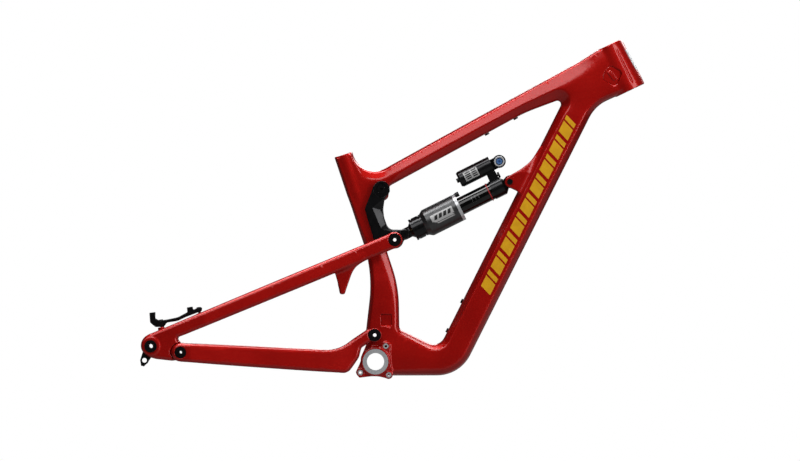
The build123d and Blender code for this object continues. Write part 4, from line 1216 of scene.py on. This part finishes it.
def candy_red():
    """Metallic red lacquer under a clear coat, with fine flakes and a slow drift of tone."""
    material, nodes, links, shader = new_material("candy_red")
    set_inputs(shader, {
        "Metallic": 0.7,
        "Roughness": 0.5,
        "Specular IOR Level": 0.05,
        "Coat Weight": 1,
        "Coat Roughness": 0.17,
    })
    drift = spread(nodes, links, grain(nodes, links, 14), 0, 1)
    deep = blend_colours(nodes, links, drift, *CANDY_DEEP)
    place = nodes.new("ShaderNodeTexCoord")
    flakes = add_node(nodes, "TexVoronoi", Scale=FLAKE_SCALE)
    links.new(place.outputs["Object"], flakes.inputs["Vector"])
    lit = nodes.new("ShaderNodeMix")
    lit.data_type = "RGBA"
    lit.inputs["B"].default_value = CANDY_FLAKE
    split = nodes.new("ShaderNodeSeparateColor")
    links.new(flakes.outputs["Color"], split.inputs["Color"])
    few = add_node(nodes, "MapRange")
    set_inputs(few, {"From Min": 0.72, "To Max": 0.25})
    links.new(split.outputs["Red"], few.inputs["Value"])
    links.new(few.outputs["Result"], lit.inputs["Factor"])
    links.new(deep, lit.inputs["A"])
    links.new(lit.outputs["Result"], shader.inputs["Base Color"])
    raise_grain(nodes, links, flakes.outputs["Distance"], FLAKE_HEIGHT, shader)
    return material


# Slot, two colours that the surface drifts between, metallic, two roughnesses,
# grain per metre, its height in mm and the coat's weight.
FINISHES = (
    ("black_aluminium", (0.012, 0.012, 0.013), (0.022, 0.022, 0.024), 0.80, 0.22, 0.32, 2600, 0.006, 0.3),
    ("silver_aluminium", (0.62, 0.63, 0.65), (0.72, 0.73, 0.75), 0.45, 0.24, 0.36, 2200, 0.010, 0),
    ("steel", (0.40, 0.40, 0.41), (0.52, 0.52, 0.53), 1, 0.22, 0.34, 1800, 0.008, 0),
    ("blue_aluminium", (0.10, 0.25, 0.62), (0.16, 0.34, 0.74), 0.5, 0.22, 0.30, 2200, 0.006, 0.3),
    ("bronze_bushing", (0.30, 0.19, 0.08), (0.42, 0.28, 0.13), 1, 0.30, 0.45, 2000, 0.012, 0),
    ("red_rubber", (0.42, 0.012, 0.018), (0.52, 0.020, 0.028), 0, 0.42, 0.55, 1800, 0.020, 0),
    ("decal_yellow", (0.78, 0.38, 0.002), (0.88, 0.45, 0.004), 0, 0.34, 0.42, 900, 0.004, 0.4),
    ("label_grey", (0.46, 0.46, 0.46), (0.56, 0.56, 0.56), 0.2, 0.34, 0.42, 900, 0.002, 0.2),
    ("label_black", (0.008, 0.008, 0.008), (0.014, 0.014, 0.014), 0, 0.34, 0.42, 900, 0.002, 0.2),
)


def plain_finish(name, dark, light, metallic, smooth, rough, scale, height, coat):
    """A finish whose tone and gloss drift a little, over a fine grain."""
    material, nodes, links, shader = new_material(name)
    set_inputs(shader, {"Metallic": metallic, "Coat Weight": coat})
    drift = spread(nodes, links, grain(nodes, links, 90), 0, 1)
    links.new(blend_colours(nodes, links, drift, dark, light), shader.inputs["Base Color"])
    fine = grain(nodes, links, scale)
    links.new(spread(nodes, links, fine, smooth, rough), shader.inputs["Roughness"])
    raise_grain(nodes, links, fine, height, shader)
    return material


# Slot, the rings' two colours, two roughnesses, their height in mm and the coat's weight.
TURNED_FINISHES = (
    ("grey_can", (0.085, 0.086, 0.088), (0.115, 0.116, 0.118), 0.30, 0.38, 0.010, 0),
    ("black_stanchion", (0.006, 0.006, 0.006), (0.010, 0.010, 0.010), 0.10, 0.16, 0.002, 1),
)


def turned_finish(name, dark, light, smooth, rough, height, coat):
    """Metal turned on a lathe about the shock's axis: fine rings along it."""
    material, nodes, links, shader = new_material(name)
    set_inputs(shader, {"Metallic": 0.9, "Coat Weight": coat, "Coat Roughness": 0.05})
    rings = grain(nodes, links, 1300, (1, 0.02, 0.02), SHOCK_ANGLE)
    tone = blend_colours(nodes, links, spread(nodes, links, rings, 0, 1), dark, light)
    links.new(tone, shader.inputs["Base Color"])
    gloss = spread(nodes, links, grain(nodes, links, 120), smooth, rough)
    links.new(gloss, shader.inputs["Roughness"])
    raise_grain(nodes, links, rings, height, shader)
    return material


def all_finishes():
    looks = {row[0]: plain_finish(*row) for row in FINISHES}
    looks.update({row[0]: turned_finish(*row) for row in TURNED_FINISHES})
    looks["painted_frame"] = candy_red()
    looks["port_plastic"] = looks["painted_frame"]
    return looks


def wear(piece, material):
    piece.data.materials.clear()
    piece.data.materials.append(material)


EDGE_BEVEL = 0.3
SHARP_ANGLE = 40


def soften(node):
    """Small bevels on a CAD part's sharp edges."""
    bevel = node.modifiers.new("edges", "BEVEL")
    bevel.width = EDGE_BEVEL * MM
    bevel.segments = 2
    bevel.limit_method = "ANGLE"
    bevel.angle_limit = radians(SHARP_ANGLE)
    bevel.harden_normals = True


def dress_cad_parts(looks):
    """Gives every CAD part that is still seen its slot's finish."""
    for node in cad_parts.values():
        slot = node.data.materials[0].name.split(".")[0]
        wear(node, looks[slot])
        if not node.hide_render:
            soften(node)


def main():
    bpy.context.scene.view_settings.view_transform = "Standard"
    add_camera()
    add_stage()
    add_world()
    add_lights()
    looks = all_finishes()
    for piece in (front_triangle(), seatstay(), chainstay()):
        wear(piece, looks["painted_frame"])
    for piece in (rocker(), adapter()):
        wear(piece, looks["black_aluminium"])
    wear(dial_ring(), looks["silver_aluminium"])
    wear(adapter_bolts(), looks["black_aluminium"])
    wear(port_covers(), looks["port_plastic"])
    wear(down_tube_stripes(), looks["decal_yellow"])
    for piece, look in shock_labels():
        wear(piece, looks[look])
    dress_cad_parts(looks)


main()
